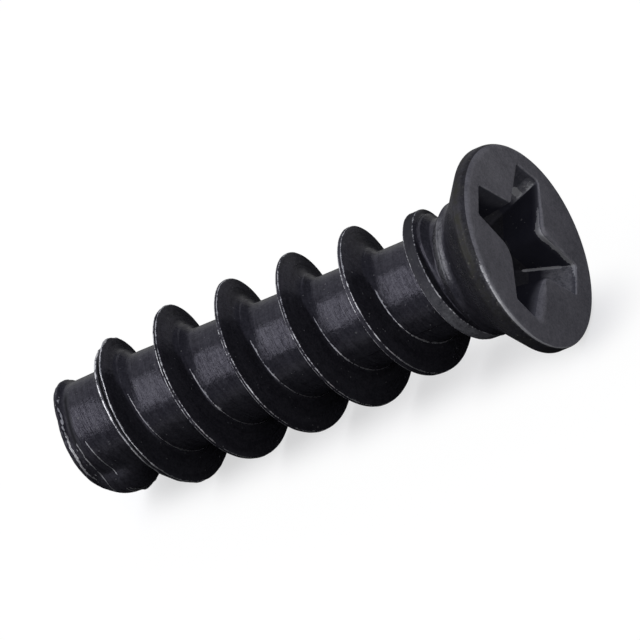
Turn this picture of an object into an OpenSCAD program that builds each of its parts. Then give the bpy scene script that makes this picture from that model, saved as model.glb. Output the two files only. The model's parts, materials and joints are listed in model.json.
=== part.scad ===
// Case fan screw with a small countersunk head, a cross recess and a coarse
// thread-forming thread, lying on its side as it comes to rest on a table.
// Millimetres. The screw is modelled upright on its own axis, with the end face
// of its tip at z = 0 and the head at the top, and then laid down.

/* [Overall] */
// Length from the end face of the tip to the flat face of the head
screw_length = 15; // [12:0.5:22]

/* [Head] */
// Diameter of the head over its rim
head_d = 6.1; // [5.4:0.05:7.5]
// Height of the straight rim below the face
rim_h = 0.42; // [0.3:0.02:0.8]
// Angle of the countersunk cone, side to side
countersink_angle = 90; // [80:1:100]
// Rounding of the edge round the face
face_edge_r = 0.14; // [0.05:0.01:0.2]
// Rounding of the edge between the rim and the cone
rim_edge_r = 0.08; // [0.04:0.01:0.14]
// Fillet where the cone runs into the neck
neck_fillet_r = 0.35; // [0.2:0.05:0.6]

/* [Neck] */
// Diameter of the unthreaded neck, which is the diameter of the blank
neck_d = 3.9; // [3.6:0.05:4.2]
// Length of the neck from the small end of the cone to its shoulder
neck_length = 0.3; // [0.2:0.05:1]
// Slope of the shoulder from the neck down to the core, off the axis
shoulder_angle = 42; // [30:1:60]

/* [Thread] */
// Diameter over the crests
thread_d = 4.9; // [4.6:0.05:5.3]
// Diameter of the core between the crests
core_d = 3.05; // [2.8:0.05:3.3]
// Advance of the thread in one turn
pitch = 2.09; // [1.7:0.01:2.8]
// Slope of each flank, off the plane square to the axis
flank_angle = 18; // [12:1:24]
// Width of the flat along a full crest
crest_land = 0.1; // [0.06:0.01:0.2]
// Fillet where a flank runs into the core
root_fillet_r = 0.14; // [0.06:0.02:0.24]

/* [Thread start and end] */
// Turns from the end face to the blunt start of the crest
lead_in_start = 0.2; // [0:0.05:0.4]
// Turns over which the blunt start rises out of the core
lead_in_ramp = 0.1; // [0.04:0.02:0.3]
// Diameter over the crest at the top of its start
lead_in_d = 3.95; // [3.3:0.05:4.2]
// Turns over which the crest grows to its full height
lead_in_turns = 1.2; // [1:0.1:2.5]
// How quickly the crest grows at first, 1 is evenly
lead_in_curve = 1.2; // [1:0.1:2]
// Depth of the fold that splits the unfinished crest of the first turns
fold_depth = 0.14; // [0:0.02:0.2]
// Turns over which the fold dies out
fold_turns = 2.2; // [1:0.1:3]
// Turns over which the crest sinks into the neck
run_out_turns = 1.7; // [0.8:0.05:2]
// Turns over which the groove rises to the neck
groove_rise_turns = 0.7; // [0.5:0.05:1.2]

/* [Tip] */
// Diameter of the core at the tip
tip_core_d = 3; // [2.7:0.05:3.05]
// Length over which the core tapers to the tip
tip_taper_length = 2; // [1:0.1:4]
// Diameter of the pinched lip round the end face
tip_lip_d = 3.3; // [3.05:0.05:3.35]
// Length of the pinched lip
tip_lip_length = 0.3; // [0.15:0.05:0.5]
// Rounding of the edge of the end face
tip_edge = 0.06; // [0.02:0.01:0.1]

/* [Cross recess] */
// Span of the recess at the face, from wing end to wing end
recess_span = 4.65; // [4:0.05:5]
// Width of a wing at its end
wing_width = 1; // [0.7:0.05:1.2]
// Distance of the inner corners from the middle of the recess, at the face
corner_reach = 1.12; // [1:0.02:1.3]
// Slope of the wing ends, off the axis
wing_taper = 26.5; // [20:0.5:32]
// Slope of the inner corners, off the axis
corner_draft = 7; // [3:0.5:10]
// Depth of the wings
wing_depth = 1.7; // [1.3:0.05:1.9]
// Depth of the point in the middle of the floor
recess_depth = 2.1; // [1.95:0.05:2.4]
// Rounding of the four inner corners
corner_r = 0.25; // [0.1:0.05:0.5]
// Rounding of the wings' outer corners
wing_corner_r = 0.08; // [0.04:0.02:0.14]
// Turn of the wings from the start of the thread
recess_turn = 329; // [0:1:360]
// Distance of the recess off the middle of the head
recess_offset = 0.17; // [0:0.01:0.24]
// Direction of that offset from the start of the thread
recess_offset_turn = 257; // [0:1:360]

/* [Resting place] */
// Side of the screw that lies down, from the start of the thread
lying_turn = 134; // [0:1:360]

/* [Hidden] */

// Facets of the thread in one turn
turn_steps = 60;
// Facets of each small rounding
round_steps = 4;
// How far the shank's hidden surfaces stay below the neck that covers them
buried = 0.06;
// How far a cutting body reaches past the face it cuts
overcut = 0.2;

head_r = head_d / 2;
neck_r = neck_d / 2;
crest_r = thread_d / 2;
core_r = core_d / 2;
lead_in_r = lead_in_d / 2;
tip_core_r = tip_core_d / 2;
tip_lip_r = tip_lip_d / 2;
wing_reach = recess_span / 2;
half_cone = countersink_angle / 2;

// Heights along the axis, from the end face of the tip
rim_z = screw_length - rim_h;
cone_z = rim_z - (head_r - neck_r) / tan(half_cone);
neck_z = cone_z - neck_length;
shoulder_r = core_r - buried;
shoulder_z = neck_z - (neck_r - shoulder_r) / tan(shoulder_angle);
shank_top_z = cone_z;

// The thread's crest sinks under the neck at run_out_end, counted in turns from the end face
hidden_r = neck_r - buried;
run_out_end = cone_z / pitch;

// Crests on the side that lies down, in turns from the end face. The screw leans on the rim of its
// head and on whichever of these crests meets the table first
lying_crests = [for (k = [0:floor(run_out_end) - 1]) k + lying_turn / 360];
lean = min([for (turns = lying_crests)
    atan((head_r - crest_radius(turns)) / (rim_z - pitch * turns))]);
// How high the axis stands above the table at the end face of the tip
axis_height = head_r * cos(lean) - rim_z * sin(lean);
// Ends of the lying screw along X, from the middle of the end face of the tip
lying_tip_x = -tip_lip_r * sin(lean);
lying_head_x = screw_length * cos(lean) + (head_r - face_edge_r) * sin(lean);

// Vector arithmetic
function unit(v) = v / norm(v);
function turned(p, angle) = [p.x * cos(angle) - p.y * sin(angle), p.x * sin(angle) + p.y * cos(angle)];
function between(value, low, high) = min(max(value, low), high);

// Arc that rounds the corner at b between the lines to a and c, as a list of points
function rounded_corner(a, b, c, r, steps) =
    let (
        to_a = unit(a - b),
        to_c = unit(c - b),
        half = acos(between(to_a * to_c, -1, 1)) / 2,
        middle = b + unit(to_a + to_c) * r / sin(half),
        start = b + to_a * r / tan(half) - middle,
        sweep = (180 - 2 * half) * sign(start.x * to_c.y - start.y * to_c.x)
    )
    [for (i = [0:steps]) middle + turned(start, sweep * i / steps)];

// Radius of the crest after a number of turns from the end face
function lead_in_radius(turns) =
    let (
        start = core_r + (lead_in_r - core_r) * between((turns - lead_in_start) / lead_in_ramp, 0, 1),
        growing = between((turns - lead_in_start) / lead_in_turns, 0, 1)
    )
    start + (crest_r - lead_in_r) * (1 - pow(1 - growing, lead_in_curve));
function run_out_radius(turns) =
    crest_r - (crest_r - hidden_r) * between(1 - (run_out_end - turns) / run_out_turns, 0, 1);
function crest_radius(turns) = min(lead_in_radius(turns), run_out_radius(turns));

// Radius of the groove, which tapers at the tip and rises to the neck in its last turn
function groove_radius(turns, z) =
    core_r
    - (core_r - tip_core_r) * between(1 - z / tip_taper_length, 0, 1)
    + (hidden_r - core_r) * between(1 - (run_out_end - turns) / groove_rise_turns, 0, 1);

// Depth of the fold in the crest
function fold_at(turns) = fold_depth * between(1 - turns / fold_turns, 0, 1);

// Half the thickness of the thread at a radius
function half_thickness(r) = crest_land / 2 + (crest_r - r) * tan(flank_angle);

// Fillet at the foot of a flank, from the flank to the groove. side is 1 towards the head
function foot(turns, top_r, side) =
    let (
        z = pitch * turns,
        root_r = min(groove_radius(turns + side / 2, z), top_r),
        half_corner = (90 + flank_angle) / 2,
        r = min(root_fillet_r, (top_r - root_r) * tan(half_corner) / cos(flank_angle)),
        corner = [half_thickness(root_r), root_r],
        up = [-sin(flank_angle), cos(flank_angle)],
        inward = unit(up + [1, 0]),
        reach = r / tan(half_corner),
        points = [
            corner + up * reach,
            corner + inward * r * (1 / sin(half_corner) - 1),
            corner + [reach, 0]
        ]
    )
    [for (p = points) [p.y, z + side * p.x]];

// One turn of the thread in section, as [radius, height] from the tip towards the head
function thread_section(turns) =
    let (
        z = pitch * turns,
        top_r = max(crest_radius(turns), groove_radius(turns, z)),
        land = half_thickness(top_r),
        lower = foot(turns, top_r, -1),
        upper = foot(turns, top_r, 1)
    )
    concat(
        [for (i = [2:-1:0]) lower[i]],
        [[top_r, z - land], [top_r - fold_at(turns), z], [top_r, z + land]],
        upper
    );

// Edge of the shank at one angle, as [radius, height]. What lies past an end is drawn in to it
function shank_edge(angle) =
    let (
        last_turn = ceil(shank_top_z / pitch) + 1,
        whole = [for (k = [-2:last_turn]) each thread_section(k + angle / 360)],
        table = [for (p = whole) [p[1], p[0]]],
        low_r = lookup(tip_lip_length, table),
        high_r = lookup(shank_top_z, table),
        end_r = max(low_r, tip_lip_r)
    )
    concat(
        [[end_r - tip_edge, 0], [end_r, tip_edge], [end_r, tip_lip_length / 2]],
        [for (p = whole)
            p[1] < tip_lip_length ? [low_r, tip_lip_length]
            : p[1] > shank_top_z ? [high_r, shank_top_z]
            : p]
    );

// Faces of one strip between two neighbouring edges, without the empty ones
function strip_faces(points, a, b, count) = [
    for (j = [0:count - 2])
        for (f = [[a + j, b + j, b + j + 1], [a + j, b + j + 1, a + j + 1]])
            if (points[f[0]] != points[f[1]] && points[f[1]] != points[f[2]] && points[f[2]] != points[f[0]])
                [f[2], f[1], f[0]]
];

// Core and thread in one body
module shank() {
    edges = [for (i = [0:turn_steps]) shank_edge(360 * i / turn_steps)];
    count = len(edges[0]);
    points = concat(
        [for (i = [0:turn_steps])
            let (angle = 360 * i / turn_steps)
            for (p = edges[i]) [p[0] * cos(angle), p[0] * sin(angle), p[1]]],
        [[0, 0, 0], [0, 0, shank_top_z]]
    );
    tip_middle = len(points) - 2;
    top_middle = len(points) - 1;
    faces = concat(
        [for (i = [0:turn_steps - 1]) each strip_faces(points, i * count, (i + 1) * count, count)],
        [for (i = [0:turn_steps - 1]) [tip_middle, i * count, (i + 1) * count]],
        [for (i = [0:turn_steps - 1]) [top_middle, (i + 2) * count - 1, (i + 1) * count - 1]]
    );
    polyhedron(points, faces);
}

// Rim, countersunk cone, neck and shoulder
module head_body() {
    face_edge = rounded_corner([0, screw_length], [head_r, screw_length], [head_r, rim_z], face_edge_r, round_steps);
    cone_edge = rounded_corner([head_r, screw_length], [head_r, rim_z], [neck_r, cone_z], rim_edge_r, round_steps);
    neck_edge = rounded_corner([head_r, rim_z], [neck_r, cone_z], [neck_r, neck_z], neck_fillet_r, round_steps);
    rotate_extrude($fn = 120)
        polygon(concat(
            [[0, screw_length]],
            face_edge,
            cone_edge,
            neck_edge,
            [[neck_r, neck_z], [shoulder_r, shoulder_z], [0, shoulder_z]]
        ));
}

// Outline of the cross at a depth below the face
function recess_outline(depth) =
    let (
        reach = wing_reach - depth * tan(wing_taper),
        inner = corner_reach - depth * tan(corner_draft),
        half = wing_width / 2,
        left_corner = turned([inner, 0], -45),
        right_corner = turned([inner, 0], 45),
        wing = concat(
            rounded_corner(left_corner, [reach, -half], [reach, half], wing_corner_r, 2),
            rounded_corner([reach, -half], [reach, half], right_corner, wing_corner_r, 2),
            rounded_corner([reach, half], right_corner, turned([reach, -half], 90), corner_r, round_steps)
        )
    )
    [for (k = [0:3]) for (p = wing) turned(p, 90 * k)];

// Cross recess with tapered wings and a blunt point in its floor
module recess() {
    top = recess_outline(-overcut);
    floor_edge = recess_outline(wing_depth);
    count = len(top);
    points = concat(
        [for (p = top) [p.x, p.y, overcut]],
        [for (p = floor_edge) [p.x, p.y, -wing_depth]],
        [[0, 0, overcut], [0, 0, -recess_depth]]
    );
    faces = [
        for (i = [0:count - 1])
            let (next = (i + 1) % count)
            each [
                [i, next, 2 * count],
                [i, count + i, next],
                [next, count + i, count + next],
                [count + next, count + i, 2 * count + 1]
            ]
    ];
    translate([0, 0, screw_length])
        rotate(recess_offset_turn)
            translate([recess_offset, 0, 0])
                rotate(recess_turn - recess_offset_turn)
                    polyhedron(points, [for (f = faces) [f[2], f[1], f[0]]]);
}

// Lays the screw on the rim of its head and a crest near its tip, head towards +X
module laid_down() {
    translate([-(lying_tip_x + lying_head_x) / 2, 0, axis_height])
        rotate([0, 90 - lean, 0])
            rotate(-lying_turn)
                children();
}

module screw() {
    color("#26262a")
        laid_down()
            difference() {
                union() {
                    head_body();
                    shank();
                }
                recess();
            }
}

screw();
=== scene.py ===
"""Dresses the case fan screw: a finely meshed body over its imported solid, its finishes, and the studio.

The screw's own frame is upright and in millimetres: the end face of the tip is at z = 0, the head is on top
and angles count from the start of the thread. A finished mesh is laid down into the row frame, in metres.
"""

import json
import logging
import math
from dataclasses import asdict, dataclass
from enum import Enum
from types import SimpleNamespace
from typing import Any, Callable, Sequence, Union

import bmesh
import bpy
import numpy as np
from mathutils import Matrix, Vector

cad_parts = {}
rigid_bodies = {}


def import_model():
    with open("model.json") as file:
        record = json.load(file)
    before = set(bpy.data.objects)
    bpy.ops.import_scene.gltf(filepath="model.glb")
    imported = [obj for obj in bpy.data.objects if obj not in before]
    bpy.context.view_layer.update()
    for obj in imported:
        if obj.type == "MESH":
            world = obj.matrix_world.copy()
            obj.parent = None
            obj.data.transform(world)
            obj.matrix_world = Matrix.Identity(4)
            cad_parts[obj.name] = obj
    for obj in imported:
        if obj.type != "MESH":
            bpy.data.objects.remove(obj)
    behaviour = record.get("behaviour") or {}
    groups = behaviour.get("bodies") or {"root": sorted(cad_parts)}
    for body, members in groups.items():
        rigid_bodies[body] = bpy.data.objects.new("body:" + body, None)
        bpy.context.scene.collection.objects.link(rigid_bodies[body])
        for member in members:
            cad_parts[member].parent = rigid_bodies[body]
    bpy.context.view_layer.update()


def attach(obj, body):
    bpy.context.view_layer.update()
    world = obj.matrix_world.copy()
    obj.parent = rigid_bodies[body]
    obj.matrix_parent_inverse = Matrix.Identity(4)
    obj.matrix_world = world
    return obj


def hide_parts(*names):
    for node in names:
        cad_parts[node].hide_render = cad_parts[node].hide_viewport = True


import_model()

LOG = logging.getLogger("case_fan_screw")
MM = 0.001
COLUMNS = 240

Tree = bpy.types.NodeTree
Node = bpy.types.Node
Socket = bpy.types.NodeSocket
Value = Union["Field", float]
Colour = tuple[float, float, float]
Axes = tuple[Vector, Vector, Vector]


class Field:
    """A number that varies over a mesh or a surface, inside a node tree.

    Ordinary arithmetic on a field adds Math nodes to its tree.
    """

    def __init__(self, socket: Socket) -> None:
        """Wraps the output socket that carries the number."""
        self.socket = socket

    def _math(self, operation: str, *values: Value) -> "Field":
        """Adds one Math node and gives its result."""
        inputs = dict(enumerate(values))
        return Field(added(self.socket.id_data, "ShaderNodeMath", inputs, operation=operation).outputs[0])

    def __add__(self, other: Value) -> "Field":
        """The sum."""
        return self._math("ADD", self, other)

    __radd__ = __add__

    def __sub__(self, other: Value) -> "Field":
        """The difference."""
        return self._math("SUBTRACT", self, other)

    def __rsub__(self, other: Value) -> "Field":
        """The difference from a number."""
        return self._math("SUBTRACT", other, self)

    def __mul__(self, other: Value) -> "Field":
        """The product."""
        return self._math("MULTIPLY", self, other)

    __rmul__ = __mul__

    def __truediv__(self, other: Value) -> "Field":
        """The quotient."""
        return self._math("DIVIDE", self, other)

    def power(self, exponent: Value) -> "Field":
        """The power."""
        return self._math("POWER", self, exponent)

    def lowest(self, other: Value) -> "Field":
        """The smaller of two."""
        return self._math("MINIMUM", self, other)

    def highest(self, other: Value) -> "Field":
        """The larger of two."""
        return self._math("MAXIMUM", self, other)

    def soft_lowest(self, other: Value, width: float) -> "Field":
        """The smaller of two, blended where they are nearly equal."""
        return self._math("SMOOTH_MIN", self, other, width)

    def soft_highest(self, other: Value, width: float) -> "Field":
        """The larger of two, blended where they are nearly equal."""
        return self._math("SMOOTH_MAX", self, other, width)

    def size(self) -> "Field":
        """The number without its sign."""
        return self._math("ABSOLUTE", self)

    def sign(self) -> "Field":
        """The number's sign."""
        return self._math("SIGN", self)

    def whole(self) -> "Field":
        """The nearest whole number."""
        return self._math("ROUND", self)

    def cosine(self) -> "Field":
        """The cosine."""
        return self._math("COSINE", self)

    def sine(self) -> "Field":
        """The sine."""
        return self._math("SINE", self)

    def kept(self, low: Value = 0.0, high: Value = 1.0) -> "Field":
        """The number, drawn in to a range."""
        return self.highest(low).lowest(high)

    def gone(self, start: Value, end: Value) -> "Field":
        """How far the number has gone from a start to an end, from 0 to 1."""
        return ((self - start) / (end - start)).kept()

    def close_to(self, value: Value, reach: Value) -> "Field":
        """1 where the number has a value, falling to 0 where it is further off than the reach."""
        return (1.0 - (self - value).size() / reach).kept()

    def eased(self, low: float, high: float) -> "Field":
        """How far the number has gone from low to high, from 0 to 1 with soft ends.

        Args:
            low: Where it starts.
            high: Where it ends.

        Returns:
            The eased share.
        """
        inputs = {"Value": self, "From Min": low, "From Max": high}
        node = added(self.socket.id_data, "ShaderNodeMapRange", inputs, interpolation_type="SMOOTHSTEP")
        return Field(node.outputs["Result"])

    def facing(self, turn: float, least: float, full: float) -> "Field":
        """How near an angle is to a turn in degrees, eased between two cosines."""
        return (self - math.radians(turn)).cosine().eased(least, full)


def feed(value: "Field | Socket | float | Sequence[float]", socket: Socket) -> None:
    """Links a field or a socket to an input, or sets the input to a constant.

    Args:
        value: What goes in.
        socket: The input socket.
    """
    source = value.socket if isinstance(value, Field) else value
    if isinstance(source, Socket):
        socket.id_data.links.new(source, socket)
    else:
        socket.default_value = source


def added(tree: Tree, kind: str, inputs: dict[str | int, Any] | None = None, **settings: str) -> Node:
    """Adds a node to a tree.

    Args:
        tree: The node tree.
        kind: The node's type.
        inputs: What goes into its inputs, by their names or numbers.
        settings: The node's own settings.

    Returns:
        The node.
    """
    node = tree.nodes.new(kind)
    for name, value in settings.items():
        setattr(node, name, value)
    for key, value in (inputs or {}).items():
        feed(value, node.inputs[key])
    return node


def joined_vector(x: Field, y: Value, z: Value) -> Socket:
    """Three numbers as one vector."""
    return added(x.socket.id_data, "ShaderNodeCombineXYZ", {0: x, 1: y, 2: z}).outputs[0]


def parts_of(vector: Socket) -> list[Field]:
    """The three numbers of a vector."""
    node = added(vector.id_data, "ShaderNodeSeparateXYZ", {0: vector})
    return [Field(socket) for socket in node.outputs]


def noise(
    where: Socket, scale: float, detail: float = 2.0, roughness: float = 0.5, stir: float = 0.0
) -> Field:
    """Smooth noise about 0.5 over a vector.

    Args:
        where: The vector's socket.
        scale: How many features fit into one unit.
        detail: How many finer octaves are added.
        roughness: How strong the finer octaves are.
        stir: How far the pattern is stirred.

    Returns:
        The noise.
    """
    inputs = {"Vector": where, "Scale": scale, "Detail": detail, "Roughness": roughness, "Distortion": stir}
    return Field(added(where.id_data, "ShaderNodeTexNoise", inputs).outputs[0])


@dataclass(frozen=True)
class ScrewSizes:
    """The screw's sizes in millimetres and degrees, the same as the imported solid's."""

    length: float = 15.0
    head_r: float = 3.05
    rim_h: float = 0.42
    half_cone: float = 45.0
    rim_edge_r: float = 0.08
    face_edge_r: float = 0.14
    neck_r: float = 1.95
    neck_length: float = 0.3
    shoulder_angle: float = 42.0
    crest_r: float = 2.45
    core_r: float = 1.525
    pitch: float = 2.09
    flank_angle: float = 18.0
    crest_land: float = 0.1
    lead_in_start: float = 0.2
    lead_in_ramp: float = 0.1
    lead_in_r: float = 1.975
    lead_in_turns: float = 1.2
    lead_in_curve: float = 1.2
    fold_depth: float = 0.14
    fold_turns: float = 2.2
    run_out_turns: float = 1.7
    groove_rise_turns: float = 0.7
    buried: float = 0.06
    tip_core_r: float = 1.5
    tip_taper_length: float = 2.0
    tip_lip_r: float = 1.65
    tip_lip_length: float = 0.3
    tip_edge: float = 0.06
    recess_reach: float = 2.325
    wing_width: float = 1.0
    corner_reach: float = 1.12
    wing_taper: float = 26.5
    corner_draft: float = 7.0
    wing_depth: float = 1.7
    recess_depth: float = 2.1
    wing_corner_r: float = 0.08
    recess_turn: float = 329.0
    recess_offset: float = 0.17
    recess_offset_turn: float = 257.0
    lying_turn: float = 134.0

    @property
    def rim_z(self) -> float:
        """Height of the rim's lower edge."""
        return self.length - self.rim_h

    @property
    def cone_z(self) -> float:
        """Height of the cone's small end."""
        return self.rim_z - (self.head_r - self.neck_r) / self.cone_slope

    @property
    def cone_slope(self) -> float:
        """Sideways run of the cone for its height."""
        return math.tan(math.radians(self.half_cone))

    @property
    def neck_z(self) -> float:
        """Height of the neck's foot."""
        return self.cone_z - self.neck_length

    @property
    def hidden_r(self) -> float:
        """Radius to which the thread sinks under the neck."""
        return self.neck_r - self.buried

    @property
    def run_out_end(self) -> float:
        """Turns from the end face to where the crest has sunk under the neck."""
        return self.cone_z / self.pitch

    def crest_radius(self, turns: float) -> float:
        """Radius of the crest.

        Args:
            turns: Turns from the end face.

        Returns:
            The radius in millimetres.
        """
        ramp = min(max((turns - self.lead_in_start) / self.lead_in_ramp, 0), 1)
        growing = min(max((turns - self.lead_in_start) / self.lead_in_turns, 0), 1)
        lead_in = (
            self.core_r
            + (self.lead_in_r - self.core_r) * ramp
            + (self.crest_r - self.lead_in_r) * (1 - (1 - growing) ** self.lead_in_curve)
        )
        sinking = min(max(1 - (self.run_out_end - turns) / self.run_out_turns, 0), 1)
        return min(lead_in, self.crest_r - (self.crest_r - self.hidden_r) * sinking)


@dataclass(frozen=True)
class ShankDetail:
    """What the scene adds to the shank, in millimetres."""

    dish: float = 0.06
    foot_height: float = 0.2
    foot_length: float = 0.17
    core_swell: float = 0.014
    fold_deepening: float = 2.2
    lip_drop: float = 0.42
    lip_spread: float = 0.1
    left_bulge: float = 0.03
    upper_bulge: float = 0.28
    start_swell: float = 1.98
    crumpling: float = 0.07
    neck_laps: float = 0.022
    raggedness: float = 0.075
    seed: float = 4.0


class LyingPlace:
    """Where the screw lies: on the rim of its head and the crest that meets the table first."""

    def __init__(self, sizes: ScrewSizes) -> None:
        """Works out the lean and the shift.

        Args:
            sizes: The screw's sizes.
        """
        crests = [k + sizes.lying_turn / 360 for k in range(math.floor(sizes.run_out_end))]
        self.lean = min(
            math.atan((sizes.head_r - sizes.crest_radius(turns)) / (sizes.rim_z - sizes.pitch * turns))
            for turns in crests
        )
        sine = math.sin(self.lean)
        cosine = math.cos(self.lean)
        tip_x = -sizes.tip_lip_r * sine
        head_x = sizes.length * cosine + (sizes.head_r - sizes.face_edge_r) * sine
        axis_height = sizes.head_r * cosine - sizes.rim_z * sine
        self.tip = Vector((-(tip_x + head_x) / 2, 0, axis_height)) * MM
        self.axis = Vector((cosine, 0, sine))
        self.down = Vector((sine, 0, -cosine))
        self.turn = math.radians(sizes.lying_turn)

    def matrix(self) -> Matrix:
        """The move from the upright frame in millimetres to the row frame in metres.

        Returns:
            The move as a matrix.
        """
        return (
            Matrix.Translation(self.tip)
            @ Matrix.Rotation(math.pi / 2 - self.lean, 4, "Y")
            @ Matrix.Rotation(-self.turn, 4, "Z")
            @ Matrix.Scale(MM, 4)
        )

    def side(self, degrees: float) -> Vector:
        """The direction square to the axis at an angle from the start of the thread."""
        angle = math.radians(degrees) - self.turn
        return self.down * math.cos(angle) + Vector((0, 1, 0)) * math.sin(angle)


@dataclass(frozen=True)
class RowPlan:
    """How the rows of the shank's mesh are shared out along the axis."""

    cap_rows: int = 8
    tip_rows: int = 24
    rows_per_turn: int = 40
    neck_rows: int = 64
    tip_zone: float = 0.46
    neck_zone: float = 12.2
    join_above_cone: float = 0.3
    turns_before: float = 1.5
    turns_spare: float = 0.1

    def helix_rows(self, pitch: float) -> int:
        """Rows of the stretch that follows the thread."""
        turns = self.neck_zone / pitch + self.turns_before + self.turns_spare
        return math.ceil(turns * self.rows_per_turn)

    def rows(self, pitch: float) -> int:
        """All rows."""
        return self.cap_rows + self.tip_rows + self.helix_rows(pitch) + self.neck_rows + 1


@dataclass(frozen=True)
class Mark:
    """A line or a patch on the shank.

    It has a height and a half width, and faces a turn in degrees: it is full where the cosine of the
    angle to that turn is above one value, and gone where that cosine is below another. A line may rise
    round the shank.
    """

    height: float
    half: float
    turn: float
    least: float
    full: float
    strength: float = 1.0
    slope: float = 0.0
    wobble: float = 0.0

    def above(self, at: "ShankPlace") -> Field:
        """The height above the mark's middle."""
        return at.z - at.around * self.slope - self.height - at.pinch * self.wobble

    def share(self, at: "ShankPlace") -> Field:
        """How strong the mark is."""
        facing = at.angle.facing(self.turn, self.least, self.full)
        return self.above(at).close_to(0.0, self.half) * facing * self.strength


@dataclass
class ShankPlace:
    """A point of the shank's grid: where it is, and where that lies on the nearest crest."""

    around: Field
    z: Field
    angle: Field
    inward: Field
    turns: Field
    off: Field
    crest_r: Field
    land: Field
    past_root: Field
    unfinished: Field
    pinch: Field
    flecks: Field


class ShankTree:
    """The Geometry Nodes tree that winds the thread and the core as one surface.

    A flat grid is wrapped round the axis. Its rows follow the thread, close together at the crest and the
    root. Heights and lengths are in millimetres, turns of the crest count from the end face and other
    turns are in degrees from the start of the thread.
    """

    # Rows: their shares of half a turn from the crest's middle to the groove's, and where they crowd
    ROW_STOPS = (0.0, 0.22, 0.45, 0.62, 0.82, 1.0)
    EDGE_HALF = 0.022
    LAND_SHARE = 0.4
    ROOT_REACH = (0.04, 0.06)
    LEAST_GAP = 0.004
    MERGE_DISTANCE = 0.0003

    # Widths over which two shapes blend
    CREST_BLEND = 0.05
    ROOT_BLEND = 0.08
    SWELL_BLEND = 0.1
    NECK_BLEND = 0.2
    SEAM_BLEND = 0.08
    LIP_BLEND = 0.05
    SHOULDER_BLEND = 0.06

    # The folded lips of the unfinished crest, as shares of its land
    LIP_SIDE = 0.6
    CREASE_SHIFT = -0.4
    CREASE_HALF = 0.5
    RAGGED_WAVES = (9.0, 7.0)
    RAGGED_CHIPS = (34.0, 5.0)
    RAGGED_LEAST = 0.3
    RAGGED_EXTRA = 1.8

    # The core swells below the first height, and no further below the second
    SWELL_Z = (7.0, 2.4)
    FOOT_FACING = (285.0, 0.2, 0.95)
    FOOT_LEAST = 0.15
    FOOT_SIDE = 0.2
    FOOT_FADE = 0.3
    # Middle above the neck's foot, and half width
    LAPS = ((-0.16, 0.05), (0.04, 0.04))
    LIP_CROWN = 0.7
    LIP_STEEPNESS = 1.3
    START_FACING = (105.0, 0.64, 0.96)
    START_Z = 0.74
    START_CURVE = 0.66
    PINCH_AROUND = 5.0
    PINCH_ALONG = 22.0
    END_ZONE = 0.42
    # Turn that each bulge of the end faces, and the height at which it ends
    LEFT_BULGE = (20.0, 0.35)
    UPPER_BULGE = (255.0, 0.7)

    # Bright lines along the crests and the end's lip, and a painted highlight along the roots
    STANDING_CLEAR = 0.15
    SUNK = 0.03
    EDGE_INSET = 0.01
    EDGE_LINE_HALF = 0.034
    LIP_WIDENING = 0.035
    EDGE_STRENGTH = 0.76
    EDGE_EXTRA = 0.3
    FLECK_SCALE = (60.0, 12.0)
    FLECK_STRENGTH = 2.2
    ROOT_LINE = (0.03, 0.036)
    ROOT_LINE_STRENGTH = 0.95
    ROOT_LINE_FACING = (70.0, -0.1, 0.3)
    ROOT_LINE_END = (5.7, 5.4)
    END_FLECK_SCALE = (9.0, 30.0)
    END_FLECKS = 2.4
    END_LINE = Mark(0.14, 0.026, 10.0, 0.45, 0.7, 1.1, wobble=0.12)
    INNER_LINE = Mark(0.285, 0.026, 57.0, 0.66, 0.8, 1.1, slope=0.365, wobble=0.1)
    END_GRIME = Mark(0.3, 0.13, -10.0, 0.7, 0.9, 1.9)
    # A painted highlight on the neck, laid on as scuffing
    NECK_PATCH = Mark(13.2, 0.25, 342.0, 0.8, 0.95, 1.6)
    SEAM = Mark(0.501, 0.03, 40.0, 0.885, 0.93, slope=1.656)
    SEAM_END = (1.2, 1.188)
    RIDGE_GAIN = 9.0
    RIDGE_LEVEL = 0.9
    RIDGE_STRENGTH = 0.8
    # Scuffs, tarnish and the painted shade in the first crest's fold
    LAND_MARGIN = 0.03
    SCUFFED_TURNS = (6.0, 6.12)
    GRIMY_TURNS = (5.4, 5.7)
    GRIMIEST_TURN = (5.78, 0.25)
    GRIMIEST = 0.7
    CREASE_MIDDLE = -0.55
    CREASE_MARGIN = 0.01
    CREASE_FADE = 3.0
    CREASE_GRIME = 2.16
    CREASE_FLECKS = 3.84

    # Scale of the path that the die streaks follow
    PATH_RADIUS = 6.0
    PATH_ALONG = 3.5

    def __init__(self, sizes: ScrewSizes, plan: RowPlan, detail: ShankDetail) -> None:
        """Builds the tree.

        Args:
            sizes: The screw's sizes.
            plan: The rows of the mesh.
            detail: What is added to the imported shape.
        """
        self.sizes = sizes
        self.plan = plan
        self.tree = bpy.data.node_groups.new("threaded_shank", "GeometryNodeTree")
        self.values: dict[str, float | int | bpy.types.Material] = {}
        self.identifiers: dict[str, str] = {}
        self.given = SimpleNamespace()
        self.tree.interface.new_socket("Geometry", in_out="INPUT", socket_type="NodeSocketGeometry")
        self.tree.interface.new_socket("Geometry", in_out="OUTPUT", socket_type="NodeSocketGeometry")
        self._declare("columns", COLUMNS, "NodeSocketInt")
        self._declare("rows", plan.rows(sizes.pitch), "NodeSocketInt")
        for name, value in {**self._named_sizes(), **asdict(detail)}.items():
            self._declare(name, value)
        self._declare("material", None, "NodeSocketMaterial")
        self.inputs = self.tree.nodes.new("NodeGroupInput")
        for name in self.values:
            setattr(self.given, name, Field(self.inputs.outputs[self._label(name)]))
        self._build()

    def _label(self, name: str) -> str:
        """The text of an input."""
        return name.replace("_", " ").capitalize()

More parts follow.
